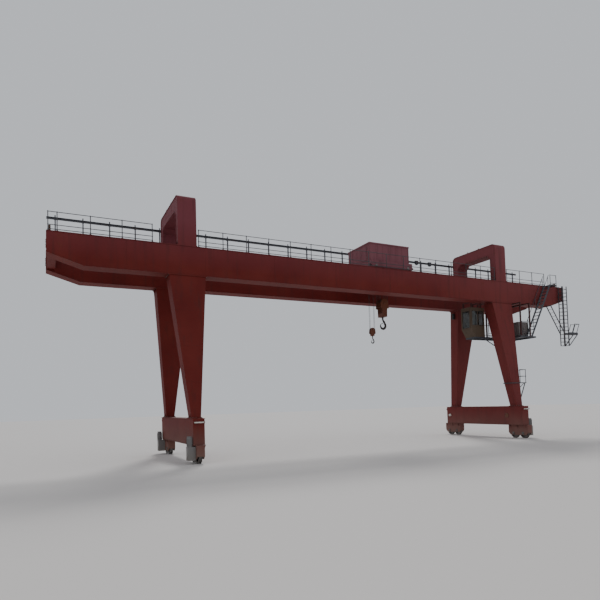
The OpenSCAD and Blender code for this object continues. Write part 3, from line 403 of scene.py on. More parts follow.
def trolley_rail_steel():
    """A crane rail: its head polished by the wheels, the rest brown with rust."""
    look = Look("rail_steel")
    fleck = look.noise(30, 6)
    brown = look.mix(look.span(look.noise(2.5, 6), 0.3, 0.7), (0.06, 0.036, 0.027, 1), (0.12, 0.06, 0.035, 1))
    head = look.span(look.parts.outputs["Z"], GIRDER_TOP + 0.114, GIRDER_TOP + 0.119)
    ridge = look.span(look.parts.outputs["Z"], GIRDER_TOP + 0.128, GIRDER_TOP + 0.122)
    head = look.math("MULTIPLY", head, ridge)
    tone = look.mix(head, brown, (0.34, 0.33, 0.32, 1))
    shine = look.span(head, 0, 1, 0.72, 0.28)
    return look.finish(tone, shine, look.bump(fleck, 0.5, 0.001), metallic=0.6)


def chequer(name, colour, faded):
    """Deck plate with a raised pattern of crossed lozenges on its upward faces."""
    look = Look(name)
    cloud = look.noise(1.1, 6)
    fleck = look.noise(22, 5)
    tone = look.mix(look.span(cloud, 0.3, 0.7), colour, faded)
    bloom = look.math("MULTIPLY", look.span(look.noise(2.6, 8, rough=0.66), 0.58, 0.7), 0.55)
    tone = look.mix(bloom, tone, RUST)
    worn = look.math("MULTIPLY", look.wear(0.006), look.span(fleck, 0.4, 0.65))
    tone = look.mix(worn, tone, (0.2, 0.2, 0.2, 1))
    ridges = []
    for turn in (math.radians(45), math.radians(-45)):
        mapping = look.node("ShaderNodeMapping")
        mapping.inputs["Rotation"].default_value = (0, 0, turn)
        look.tree.links.new(look.where, mapping.inputs["Vector"])
        wave = look.node("ShaderNodeTexWave", bands_direction="X")
        wave.inputs["Scale"].default_value = 9.0
        look.tree.links.new(mapping.outputs["Vector"], wave.inputs["Vector"])
        ridges.append(look.span(wave.outputs["Fac"], 0.82, 0.95))
    raised = look.math("MULTIPLY", look.math("MAXIMUM", ridges[0], ridges[1]), look.up(0.8, 0.95))
    tone = look.mix(look.math("MULTIPLY", raised, 0.35), tone, (0.22, 0.22, 0.22, 1))
    normal = look.bump(raised, 0.6, 0.003, look.bump(fleck, 0.4, 0.001))
    return look.finish(tone, look.span(fleck, 0.2, 0.8, 0.45, 0.65), normal)


def wire_rope():
    """Greased wire rope: slanting strands along hanging falls."""
    look = Look("rope")
    mapping = look.node("ShaderNodeMapping")
    mapping.inputs["Scale"].default_value = (55, 55, 22)
    mapping.inputs["Rotation"].default_value = (0, 0, math.radians(45))
    look.tree.links.new(look.where, mapping.inputs["Vector"])
    wave = look.node("ShaderNodeTexWave", bands_direction="DIAGONAL")
    wave.inputs["Scale"].default_value = 1.0
    look.tree.links.new(mapping.outputs["Vector"], wave.inputs["Vector"])
    strand = wave.outputs["Fac"]
    tone = look.mix(strand, (0.018, 0.016, 0.015, 1), (0.11, 0.10, 0.09, 1))
    grease = look.span(look.noise(7, 5), 0.45, 0.7)
    tone = look.mix(grease, tone, (0.02, 0.016, 0.012, 1))
    shine = look.span(grease, 0, 1, 0.55, 0.3)
    return look.finish(tone, shine, look.bump(strand, 0.8, 0.004), metallic=0.5)


def window_glass():
    """Tinted pane with patches of dust, which also make it less clear."""
    look = Look("glass")
    film = look.span(look.noise(3.5, 7), 0.4, 0.8)
    tone = look.mix(film, (0.016, 0.022, 0.020, 1), (0.07, 0.068, 0.06, 1))
    shine = look.span(film, 0, 1, 0.04, 0.3)
    look.finish(tone, shine, look.bump(look.noise(1.2, 2), 0.1, 0.002), specular=0.7)
    look.feed(look.shader.inputs["Alpha"], look.span(film, 0, 1, 0.72, 0.9))
    return look.material


def glint_pale_lamp():
    """Pale moulded lamp cover, yellowed and dusty; its pale colour is also a painted highlight, standing in for sun
    glints on the beam ends.
    """
    look = Look("glint_pale_lamp")
    tone = look.mix(look.span(look.noise(6, 5), 0.35, 0.7), (0.72, 0.71, 0.66, 1), (0.5, 0.47, 0.4, 1))
    return look.finish(tone, look.span(look.noise(30, 4), 0.2, 0.8, 0.25, 0.42), None)


def rubber():
    """Black rubber of gaskets and buffers."""
    look = Look("rubber")
    tone = look.mix(look.span(look.noise(9, 5), 0.35, 0.7), (0.012, 0.012, 0.013, 1), (0.04, 0.038, 0.036, 1))
    return look.finish(tone, look.span(look.noise(40, 4), 0.2, 0.8, 0.6, 0.8), look.bump(look.noise(60, 4), 0.5, 0.001))


LOOKS = {
    # The red paint carries a painted sky light: paler, cooler red high on the crane.
    "red_paint": paint("red_paint", (0.118, 0.010, 0.008, 1), (0.155, 0.018, 0.013, 1), 0.64,
                       painted_sky_tint=(0.18, 0.044, 0.056, 1)),
    "hanger_paint": paint("hanger_paint", (0.055, 0.020, 0.019, 1), (0.075, 0.028, 0.026, 1), 0.6),
    "house_paint": paint("house_paint", (0.195, 0.064, 0.080, 1), (0.235, 0.083, 0.100, 1), 0.6),
    "block_paint": paint("block_paint", (0.13, 0.040, 0.022, 1), (0.17, 0.06, 0.03, 1), 0.5, rust=0.8),
    "cabin_paint": paint("cabin_paint", (0.085, 0.060, 0.040, 1), (0.105, 0.075, 0.052, 1), 0.5, rust=0.25),
    "cabinet_paint": paint("cabinet_paint", (0.155, 0.129, 0.124, 1), (0.19, 0.16, 0.153, 1), 0.42, rust=0.25),
    "rail_grey": paint("rail_grey", (0.058, 0.056, 0.062, 1), (0.088, 0.085, 0.092, 1), 0.55, wavy=0.001),
    "dark_steel": chequer("dark_steel", (0.030, 0.032, 0.042, 1), (0.045, 0.047, 0.058, 1)),
    "drive_grey": paint("drive_grey", (0.17, 0.175, 0.18, 1), (0.23, 0.235, 0.24, 1), 0.45, wavy=0.001),
    "wheel_steel": bare_steel("wheel_steel", (0.10, 0.092, 0.088, 1), (0.22, 0.21, 0.20, 1), 0.42, 0.45),
    "rail_steel": trolley_rail_steel(),
    "drum_steel": bare_steel("drum_steel", (0.09, 0.085, 0.08, 1), (0.15, 0.14, 0.13, 1), 0.4, 0.3),
    "rope": wire_rope(),
    "hook_steel": bare_steel("hook_steel", (0.022, 0.022, 0.024, 1), (0.06, 0.058, 0.06, 1), 0.5, 0.25, 0.6, 0.002),
    "glass": window_glass(),
    "glint_pale_lamp": glint_pale_lamp(),
    "rubber": rubber(),
    "bolt_steel": bare_steel("bolt_steel", (0.10, 0.095, 0.09, 1), (0.25, 0.24, 0.23, 1), 0.4, 0.6),
}


def dress_frame():
    """Gives every CAD node the look of its slot, and the cabin's hangers a darker red."""
    looks = {row["node"]: row["material_slot"] for row in frame["record"]["subparts"]}
    looks["cabin_hangers"] = "hanger_paint"
    for name, thing in frame["nodes"].items():
        for slot in thing.material_slots:
            slot.material = LOOKS[looks[name]]
        if not thing.material_slots:
            thing.data.materials.append(LOOKS[looks[name]])


# Structure

def leg_box(end, z):
    """Half sizes of a leg along X and Y, and the distance of its middle from the centre line, at a height."""
    share = (z - LEG_FOOT_Z) / (LEG_TOP_Z - LEG_FOOT_Z)
    half_x = LEG_FOOT_HALF[0] + (LEG_TOP_HALF_X[end] - LEG_FOOT_HALF[0]) * share
    half_y = LEG_FOOT_HALF[1] + (LEG_TOP_HALF_Y - LEG_FOOT_HALF[1]) * share
    return half_x, half_y, LEG_FOOT_Y + (LEG_TOP_Y - LEG_FOOT_Y) * share


def girder_underside(x):
    """Height of a girder's underside at a place along it."""
    reach = min(x - GIRDER_ENDS[0], GIRDER_ENDS[1] - x)
    return TIP_BOTTOM + (GIRDER_BOTTOM - TIP_BOTTOM) * min(1, max(0, reach / TAPER))


def add_girder_details():
    """Weld beads along the webs, butt seams across them, and a bolted cover in each tip's end."""
    welds = Piece("girder_welds", "red_paint")
    covers = Piece("girder_covers", "red_paint")
    bolts = Piece("girder_cover_bolts", "wheel_steel", look="bolt_steel")
    bead, seam = 0.009, 0.005
    x0, x1 = GIRDER_ENDS
    for side in (FRONT, REAR):
        for y in (side * (GIRDER_OUTER - LIP), side * (GIRDER_INNER + LIP)):
            welds.tube([(x0, y, GIRDER_TOP - FLANGE), (x1, y, GIRDER_TOP - FLANGE)], bead, 6)
            welds.tube([(x, y, girder_underside(x) + FLANGE) for x in (x0, x0 + TAPER, x1 - TAPER, x1)], bead, 6)
            for i in range(1, 9):
                x = x0 + (x1 - x0) * i / 9 + 0.4 * side
                welds.tube([(x, y, girder_underside(x) + FLANGE), (x, y, GIRDER_TOP - FLANGE)], seam, 6)
        middle_y = side * (GIRDER_OUTER + GIRDER_INNER) / 2
        for end, x in ((LEFT, x0), (RIGHT, x1)):
            z = (GIRDER_TOP + TIP_BOTTOM) / 2
            covers.turned((x, middle_y, z), (end, 0, 0), [(0.21, 0), (0.21, 0.010), (0.205, 0.014), (0, 0.014)], 32)
            for i in range(8):
                angle = math.pi / 4 * i
                bolts.bolt((x + end * 0.014, middle_y + 0.175 * math.cos(angle), z + 0.175 * math.sin(angle)),
                           (end, 0, 0), 0.024)
    welds.make()
    covers.make()
    bolts.make()


def add_saddle_details():
    """Foot bolts, corner gussets and weld seams of the two saddle frames."""
    bolts = Piece("saddle_bolts", "wheel_steel", look="bolt_steel")
    gussets = Piece("saddle_gussets", "red_paint")
    low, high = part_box("left_saddle")
    half = (high[0] - low[0]) / 2
    foot_z = GIRDER_TOP + JOINT_PLATE
    web = half - 2 * LIP
    column = (GIRDER_OUTER - 0.5, GIRDER_OUTER)
    for end, side in product((LEFT, RIGHT), (FRONT, REAR)):
        for way in (-1, 1):
            for y in spread(column[0] + 0.07, column[1] - 0.07, 4):
                bolts.bolt((FRAME_X[end] + way * (half - 0.026), side * y, foot_z), (0, 0, 1), 0.03)
            for y in (column[0] + 0.14, column[1] - 0.16):
                x = FRAME_X[end] + way * web
                gussets.plate([(x, side * y, foot_z), (x + way * 0.055, side * y, foot_z),
                               (x, side * y, foot_z + 0.2)], (0, side, 0), 0.014)
    for end in (LEFT, RIGHT):
        for way in (-1, 1):
            x = FRAME_X[end] + way * web
            for y in (-0.7, 0.7):
                gussets.tube([(x, y, high[2] - 0.68), (x, y, high[2] - FLANGE)], 0.005, 6)
    bolts.make()
    gussets.make()


def add_leg_details():
    """Flange bolts, gussets and seams of the four legs."""
    bolts = Piece("leg_bolts", "wheel_steel", look="bolt_steel")
    gussets = Piece("leg_gussets", "red_paint")
    for end, side in product((LEFT, RIGHT), (FRONT, REAR)):
        middle = FRAME_X[end]
        for way in (-1, 1):
            top = middle + way * LEG_TOP_HALF_X[end]
            for y in spread(GIRDER_INNER + 0.06, GIRDER_OUTER - 0.06, 6):
                bolts.bolt((top + way * 0.032, side * y, LEG_TOP_Z), (0, 0, -1), 0.034)
            for y in spread(GIRDER_INNER + 0.14, GIRDER_OUTER - 0.14, 3):
                gussets.plate([(top, side * y, LEG_TOP_Z), (top + way * 0.055, side * y, LEG_TOP_Z),
                               (top - way * 0.03, side * y, LEG_TOP_Z - 0.28)], (0, side, 0), 0.014)
            for y in spread(-0.25, 0.25, 4):
                bolts.bolt((middle + way * 0.262, side * (LEG_FOOT_Y + y), LEG_FOOT_Z), (0, 0, 1), 0.034)
            for x in spread(-0.18, 0.18, 3):
                bolts.bolt((middle + x, side * (LEG_FOOT_Y + way * 0.332), LEG_FOOT_Z), (0, 0, 1), 0.034)
            for y in (-0.12, 0.12):
                foot = middle + way * LEG_FOOT_HALF[0]
                gussets.plate([(foot, side * (LEG_FOOT_Y + y), LEG_FOOT_Z),
                               (foot + way * 0.055, side * (LEG_FOOT_Y + y), LEG_FOOT_Z),
                               (foot + way * 0.018, side * (LEG_FOOT_Y + y), LEG_FOOT_Z + 0.2)],
                              (0, side, 0), 0.014)
        for z in (3.9, 5.7, 7.5):
            half_x, half_y, y = leg_box(end, z)
            corners = [(middle + a * half_x, side * y + b * half_y, z)
                       for a, b in ((-1, -1), (1, -1), (1, 1), (-1, 1))]
            gussets.tube(corners, 0.005, 6, closed=True)
    bolts.make()
    gussets.make()


def add_ground_details():
    """Covers, lamps and bogie fittings along the two ground beams; the pale lamp bars at the beam ends are painted
    highlights in place of sun glints.
    """
    covers = Piece("beam_covers", "block_paint")
    bolts = Piece("beam_bolts", "wheel_steel", look="bolt_steel")
    ribs = Piece("bogie_ribs", "red_paint")
    caps = Piece("axle_covers", "wheel_steel")
    lamps = Piece("beam_lamps_painted_glints", "drive_grey", look="glint_pale_lamp")
    face = 0.19
    for end, side in product((LEFT, RIGHT), (FRONT, REAR)):
        middle = FRAME_X[end]
        inner = middle - end * (BEAM_HALF_X - LIP)
        y, z = side * 2.25, 1.51
        if side == FRONT:
            covers.turned((inner, y, z), (-end, 0, 0), [(0.16, 0), (0.16, 0.012), (0.155, 0.016), (0, 0.016)], 32)
            for i in range(6):
                angle = math.pi / 3 * i
                bolts.bolt((inner - end * 0.016, y + 0.13 * math.cos(angle), z + 0.13 * math.sin(angle)),
                           (-end, 0, 0), 0.022)
        for way, along in product((-1, 1), (-0.62, 0.0, 0.62)):
            if way == end and along > 0.3:
                continue
            x = middle + way * face
            ribs.plate([(x, side * (BOGIE_Y + along), BEAM_LOW[2]),
                        (x + way * 0.105, side * (BOGIE_Y + along), BEAM_LOW[2]),
                        (x, side * (BOGIE_Y + along), BEAM_LOW[2] - 0.22)], (0, 1, 0), 0.014)
        for way, step in product((-1, 1), (-WHEEL_STEP, WHEEL_STEP)):
            if way == end and step > 0:
                continue
            spot = (middle + way * face, side * (BOGIE_Y + step), AXLE_Z)
            caps.turned(spot, (way, 0, 0), [(0.100, 0), (0.100, 0.016), (0.094, 0.021), (0.060, 0.021)], 28)
            for i in range(6):
                angle = math.pi / 3 * (i + 0.5)
                bolts.bolt((spot[0] + way * 0.021, spot[1] + 0.079 * math.cos(angle),
                            AXLE_Z + 0.079 * math.sin(angle)), (way, 0, 0), 0.018)
        # Pale lamp bars on the beam ends: painted highlights, standing in for sun glints at the beam ends.
        end_y, lamp_z = side * BEAM_HIGH[1], BEAM_HIGH[2] - 0.19
        lamps.tube([(middle - 0.24, end_y + side * 0.055, lamp_z), (middle + 0.24, end_y + side * 0.055, lamp_z)],
                   0.034, 16)
        for x in (middle - 0.26, middle + 0.26):
            ribs.turned((x - 0.02, end_y + side * 0.055, lamp_z), (1, 0, 0),
                        [(0.030, 0), (0.042, 0.006), (0.042, 0.034), (0.030, 0.04)], 16)
            ribs.post(x, end_y + side * 0.012, lamp_z, (0.05, 0.03, 0.11), 0.006)
            ribs.post(x, end_y + side * 0.03, lamp_z, (0.024, 0.05, 0.04), 0.006)
    lamp_spot = (FRAME_X[RIGHT] - BEAM_HALF_X + LIP, 3.2, 1.5)
    lamps.dome(lamp_spot, (-1, 0, 0), 0.1, 0.08, 20, 0.06)
    for part in (covers, bolts, ribs, caps, lamps):
        part.make()


def add_drive_details():
    """Fins, fan cover, terminal box and case bolts of the four travel drives."""
    fins = Piece("drive_fins", "drive_grey")
    boxes = Piece("drive_boxes", "drive_grey")
    bolts = Piece("drive_bolts", "wheel_steel", look="bolt_steel")
    case_z, motor_top, radius = 0.81, 1.24, 0.125
    for end, side in product((LEFT, RIGHT), (FRONT, REAR)):
        x = FRAME_X[end] + end * 0.45
        y = side * (BOGIE_Y + WHEEL_STEP + 0.19 - radius - 0.02)
        fins.turned((x, y, case_z), (0, 0, 1), [(0.150, 0), (0.150, 0.016), (0.144, 0.02), (0.126, 0.02)], 32)
        for i in range(24):
            angle = 2 * math.pi * i / 24
            out = Vector((math.cos(angle), math.sin(angle), 0))
            across = Vector((-math.sin(angle), math.cos(angle), 0)) * 0.0025
            foot = Vector((x, y, case_z + 0.05)) + out * (radius - 0.004)
            fins.plate([foot + across, foot - across, foot - across + out * 0.014, foot + across + out * 0.014],
                       (0, 0, 1), motor_top - case_z - 0.09)
        for z in spread(motor_top + 0.012, motor_top + 0.048, 4):
            fins.turned((x, y, z), (0, 0, 1), [(0.113, 0), (0.113, 0.004), (0.108, 0.005), (0.108, -0.001)], 32)
        toward = -side
        boxes.post(x, y + toward * (radius + 0.03), case_z + 0.24, (0.12, 0.07, 0.11), 0.01)
        boxes.turned((x, y + toward * (radius + 0.03), case_z + 0.185), (0, 0, -1),
                     [(0.016, 0), (0.016, 0.02), (0.02, 0.02), (0.02, 0.034), (0.012, 0.04)], 12)
        boxes.tube([(x, y + toward * 0.155, case_z + 0.15), (x, y + toward * 0.158, case_z + 0.10),
                    (x - end * 0.012, y + toward * 0.168, case_z + 0.05),
                    (x - end * 0.02, y + toward * 0.178, case_z + 0.02),
                    (x - end * 0.02, y + toward * 0.18, case_z - 0.012)], 0.009, 8)
        for i in range(4):
            angle = math.pi / 2 * (i + 0.5)
            bolts.bolt((x + 0.138 * math.cos(angle), y + 0.138 * math.sin(angle), case_z + 0.02), (0, 0, 1), 0.016)
        outer = FRAME_X[end] + end * 0.55
        for dy, z in product(spread(-0.16, 0.16, 4), (0.21, 0.77)):
            bolts.bolt((outer, side * (BOGIE_Y + WHEEL_STEP) + dy, z), (end, 0, 0), 0.02)
        boxes.turned((outer, side * (BOGIE_Y + WHEEL_STEP), AXLE_Z + 0.02), (end, 0, 0),
                     [(0.10, 0), (0.10, 0.012), (0.09, 0.018), (0, 0.018)], 28)
    for part in (fins, boxes, bolts):
        part.make()


# Rails and walkways

def add_rail_clips():
    """Clips with bolts that hold the trolley rails on the girders."""
    clips = Piece("rail_clips", "dark_steel")
    bolts = Piece("rail_clip_bolts", "wheel_steel", look="bolt_steel")
    count = 50
    for side in (FRONT, REAR):
        for x in spread(GIRDER_ENDS[0] + 0.35, GIRDER_ENDS[1] - 0.35, count):
            for way in (-1, 1):
                y = side * RAIL_Y + way * 0.078
                clips.post(x, y, GIRDER_TOP + 0.013, (0.07, 0.056, 0.026), 0.004)
                bolts.bolt((x, y, GIRDER_TOP + 0.026), (0, 0, 1), 0.022)
    clips.make()
    bolts.make()


def rail_posts(start, end, pitch=1.335):
    """Where the posts of a straight run of handrail stand."""
    bays = max(1, int((end - start - TUBE) / pitch + 0.5))
    return spread(start + TUBE / 2, end - TUBE / 2, bays + 1)


def add_handrail_details():
    """Base plates, sockets and rounded rail ends of the handrails on the front girder."""
    feet = Piece("handrail_feet", "rail_grey")
    bolts = Piece("handrail_bolts", "wheel_steel", look="bolt_steel")
    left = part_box("left_handrail")
    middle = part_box("middle_handrail")
    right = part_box("right_handrail")
    y = (left[0][1] + left[1][1]) / 2
    end_bay = 0.42
    gate = (14.87, 15.51)
    runs = ((left[0][0], left[0][0] + end_bay), (left[0][0] + end_bay - TUBE, left[1][0]),
            (middle[0][0], middle[1][0]), (right[0][0], gate[0]), (gate[1], right[1][0]))
    for start, end in runs:
        for x in rail_posts(start, end):
            feet.post(x, y, GIRDER_TOP + 0.006, (0.12, 0.076, 0.012), 0.003)
            feet.turned((x, y, GIRDER_TOP + 0.012), (0, 0, 1),
                        [(0.028, 0), (0.028, 0.045), (0.0215, 0.052)], 16)
            for way in (-1, 1):
                bolts.bolt((x + way * 0.044, y, GIRDER_TOP + 0.012), (0, 0, 1), 0.016)
            feet.dome((x, y, left[1][2]), (0, 0, 1), TUBE / 2, 0.012, 16)
        for height in (0.9, 0.3, 0.1):
            z = GIRDER_TOP + height - TUBE / 2
            feet.dome((start, y, z), (-1, 0, 0), 0.0168, 0.012, 12)
            feet.dome((end, y, z), (1, 0, 0), 0.0168, 0.012, 12)
    feet.make()
    bolts.make()


def add_track_details():
    """Post brackets, clamps and cable carriages of the power track."""
    brackets = Piece("track_brackets", "dark_steel")
    bolts = Piece("track_bolts", "wheel_steel", look="bolt_steel")
    carriages = Piece("track_carriages", "dark_steel")
    low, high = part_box("cable_track")
    y = GIRDER_OUTER + 0.045
    beam_top, beam_bottom = 12.88, 12.76
    count = 26
    for x in spread(GIRDER_ENDS[0] + 0.46, GIRDER_ENDS[1] - 0.46, count):
        brackets.block((x - 0.07, GIRDER_OUTER - LIP, low[2] + 0.02), (x + 0.07, GIRDER_OUTER, low[2] + 0.18), 0.003)
        brackets.post(x, y, beam_bottom - 0.008, (0.14, 0.088, 0.014), 0.003)
        for way in (-1, 1):
            bolts.bolt((x + way * 0.052, y, beam_bottom - 0.015), (0, 0, -1), 0.016)
        bolts.bolt((x, high[1] - 0.015, low[2] + 0.06), (0, 1, 0), 0.018)
        bolts.bolt((x, high[1] - 0.015, low[2] + 0.15), (0, 1, 0), 0.018)
        brackets.dome((x, y, high[2]), (0, 0, 1), 0.03, 0.016, 20)
        brackets.turned((x, y, beam_top), (0, 0, 1), [(0.042, 0), (0.042, 0.012), (0.032, 0.018)], 20)
    for x in CARRIAGE_X:
        for way in (-1, 1):
            carriages.block((x - 0.13, y + way * 0.056 - 0.005, beam_bottom - 0.05),
                            (x + 0.13, y + way * 0.056 + 0.005, beam_top + 0.07), 0.003)
            for step in (-0.08, 0.08):
                carriages.turned((x + step, y + way * 0.051, beam_top + 0.031), (0, -way, 0),
                                 [(0.03, 0), (0.03, 0.026), (0.018, 0.03)], 18)
                bolts.bolt((x + step, y + way * 0.061, beam_top + 0.031), (0, way, 0), 0.018)
        carriages.post(x, y, beam_top + 0.068, (0.26, 0.122, 0.012), 0.003)
        carriages.post(x, y, beam_bottom - 0.045, (0.24, 0.122, 0.018), 0.003)
        carriages.post(x, y, beam_bottom - 0.08, (0.16, 0.14, 0.05), 0.012)
    for part in (brackets, bolts, carriages):
        part.make()


def add_stair_details():
    """Grip bars on the treads, bolts through the stringers and the small landing's grating."""
    grips = Piece("stair_grips", "dark_steel")
    bolts = Piece("stair_bolts", "wheel_steel", look="bolt_steel")
    low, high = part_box("stairs")
    deck_z = low[2]
    y = (low[1], low[1] + 0.48)
    start, run, treads = 12.57, 2.14, 15
    rise = GIRDER_TOP - deck_z
    for i in range(1, treads):
        x, z = start + run * i / treads, deck_z + rise * i / treads
        for step in (0.035, 0.085, 0.135):
            grips.tube([(x + step, y[0] + 0.02, z), (x + step, y[1] - 0.02, z)], 0.006, 8)
        for step in (0.05, 0.12):
            bolts.bolt((x + step, y[0], z - 0.015), (0, -1, 0), 0.018)
    for x in spread(high[0] - 0.62, high[0] - 0.02, 16):
        grips.tube([(x, y[0] + 0.02, GIRDER_TOP), (x, -GIRDER_OUTER - 0.01, GIRDER_TOP)], 0.004, 6)
    grips.make()
    bolts.make()


def add_deck_details():
    """Bolted hanger feet, deck joints and the landing's and tip platform's gratings."""
    feet = Piece("deck_feet", "rail_grey")
    bolts = Piece("deck_bolts", "wheel_steel", look="bolt_steel")
    grating = Piece("deck_gratings", "dark_steel")
    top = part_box("cabin_deck")[1][2]
    hangers = ((9.79, -1.169), (9.79, -0.42), (11.56, -2.56), (11.56, -0.42), (12.47, -2.56), (12.47, -0.42))
    for x, y in hangers:
        feet.post(x, y, top + 0.008, (0.16, 0.11, 0.016), 0.004)
        for way in (-1, 1):
            bolts.bolt((x + way * 0.06, y, top + 0.016), (0, 0, 1), 0.02)
            feet.plate([(x + way * 0.04, y - 0.006, top + 0.016), (x + way * 0.078, y - 0.006, top + 0.016),
                        (x + way * 0.04, y - 0.006, top + 0.13)], (0, 1, 0), 0.012)
    for x in spread(9.0, 12.9, 8):
        grating.tube([(x, -1.27, top), (x, -0.39, top)], 0.004, 6)
    low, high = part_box("leg_landing")
    landing_z = high[2] - 0.9
    leg_face = FRAME_X[RIGHT] + leg_box(RIGHT, landing_z)[0]
    for x in spread(leg_face + 0.06, high[0] - 0.03, 20):
        grating.tube([(x, low[1] + 0.04, landing_z), (x, high[1] - 0.04, landing_z)], 0.0045, 6)
    foot_z = landing_z - 1.2
    foot_x = FRAME_X[RIGHT] + leg_box(RIGHT, foot_z)[0]
    for way in (-1, 1):
        foot = Vector((foot_x - 0.02, -leg_box(RIGHT, foot_z)[2] + way * 0.2, foot_z))
        head = Vector((high[0] - 0.06, (low[1] + high[1]) / 2 + way * 0.26, landing_z - 0.045))
        feet.tube([foot, head], 0.032, 12)
        feet.post(foot_x + 0.008, foot[1], foot_z, (0.03, 0.14, 0.2), 0.004)
    low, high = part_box("tip_platform")
    for x in spread(low[0] + 0.04, high[0] - 0.28, 26):
        grating.tube([(x, low[1] + 0.02, 7.33), (x, high[1] - 0.02, 7.33)], 0.0045, 6)
    for part in (feet, bolts, grating):
        part.make()


def add_tip_details():
    """Angle irons on the hanging ladder's corners, flat bars on the slanting one, and the platform's toe boards."""
    angles = Piece("tip_ladder_angles", "rail_grey")
    boards = Piece("tip_toe_boards", "dark_steel")
    bolts = Piece("tip_bolts", "wheel_steel", look="bolt_steel")
    ladder_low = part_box("tip_ladder")[0]
    low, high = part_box("tip_platform")
    post, leg, thick = 0.045, 0.072, 0.006
    deck_z, lean_out = 7.33, 0.24
    x = (GIRDER_ENDS[1] - 0.61, GIRDER_ENDS[1] - 0.16)
    y = (-GIRDER_OUTER - 0.38, -GIRDER_OUTER - 0.06)
    z = (ladder_low[2], GIRDER_TOP - 0.002)
    for (at_x, out_x), (at_y, out_y) in product(zip(x, (-1, 1)), zip(y, (-1, 1))):
        heel_x, heel_y = at_x + out_x * post / 2, at_y + out_y * post / 2
        for a, b in (((heel_x, heel_x - out_x * leg), (heel_y, heel_y + out_y * thick)),
                     ((heel_x, heel_x + out_x * thick), (heel_y, heel_y - out_y * leg))):
            angles.block((min(a), min(b), z[0]), (max(a), max(b), z[1]), 0.002)
        for step in range(15):
            bolts.bolt((heel_x - out_x * 0.02, heel_y + out_y * thick, z[0] + 0.15 + 0.28 * step), (0, out_y, 0), 0.016)
    head = Vector((GIRDER_ENDS[1] - 1.98, 0, GIRDER_BOTTOM - TUBE / 2))
    foot = Vector((x[0], 0, deck_z))
    along = (foot - head).normalized()
    across = Vector((-along[2], 0, along[0])) * 0.042
    for at_y, out_y in zip(y, (-1, 1)):
        side = Vector((0, at_y + out_y * TUBE / 2, 0))
        angles.plate([head + across + side, foot + across + side, foot - across + side, head - across + side],
                     (0, out_y, 0), 0.008)
    deck_x = (x[1] + post / 2 + thick, high[0] - lean_out)
    for side_y, out_y in ((low[1], -1), (high[1], 1)):
        board = sorted((side_y, side_y + out_y * 0.008))
        boards.block((deck_x[0], board[0], deck_z - 0.06), (deck_x[1], board[1], deck_z + 0.10), 0.002)
        brace = [Vector((deck_x[0], 0, ladder_low[2] + 0.02)), Vector((deck_x[1] - 0.04, 0, deck_z - 0.03))]
        lift = Vector((-(brace[1] - brace[0])[2], 0, (brace[1] - brace[0])[0])).normalized() * 0.036
        face = Vector((0, side_y, 0))
        boards.plate([brace[0] + lift + face, brace[1] + lift + face, brace[1] - lift + face, brace[0] - lift + face],
                     (0, out_y, 0), 0.008)
        for bolt_x in spread(deck_x[0] + 0.08, deck_x[1] - 0.08, 5):
            bolts.bolt((bolt_x, side_y + out_y * 0.008, deck_z - 0.02), (0, out_y, 0), 0.018)
    boards.block((deck_x[1], low[1], deck_z - 0.06), (deck_x[1] + 0.008, high[1], deck_z + 0.10), 0.002)
    for part in (angles, boards, bolts):
        part.make()


def add_saddle_eyes():
    """Lifting eyes along the top edges of the two saddle frames."""
    eyes = Piece("saddle_eyes", "red_paint")
    low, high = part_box("left_saddle")
    half = (high[0] - low[0]) / 2
    radius = 0.034
    for end, way, y in product((LEFT, RIGHT), (-1, 1), (-0.53, 0.53)):
        x = FRAME_X[end] + way * (half - 0.06)
        eyes.post(x, y, high[2] + 0.006, (0.07, 0.12, 0.012), 0.003)
        ring = [(x, y + radius * math.cos(math.pi * i / 10), high[2] + 0.034 + radius * math.sin(math.pi * i / 10))
                for i in range(20)]
        eyes.tube(ring, 0.011, 10, closed=True)
    eyes.make()


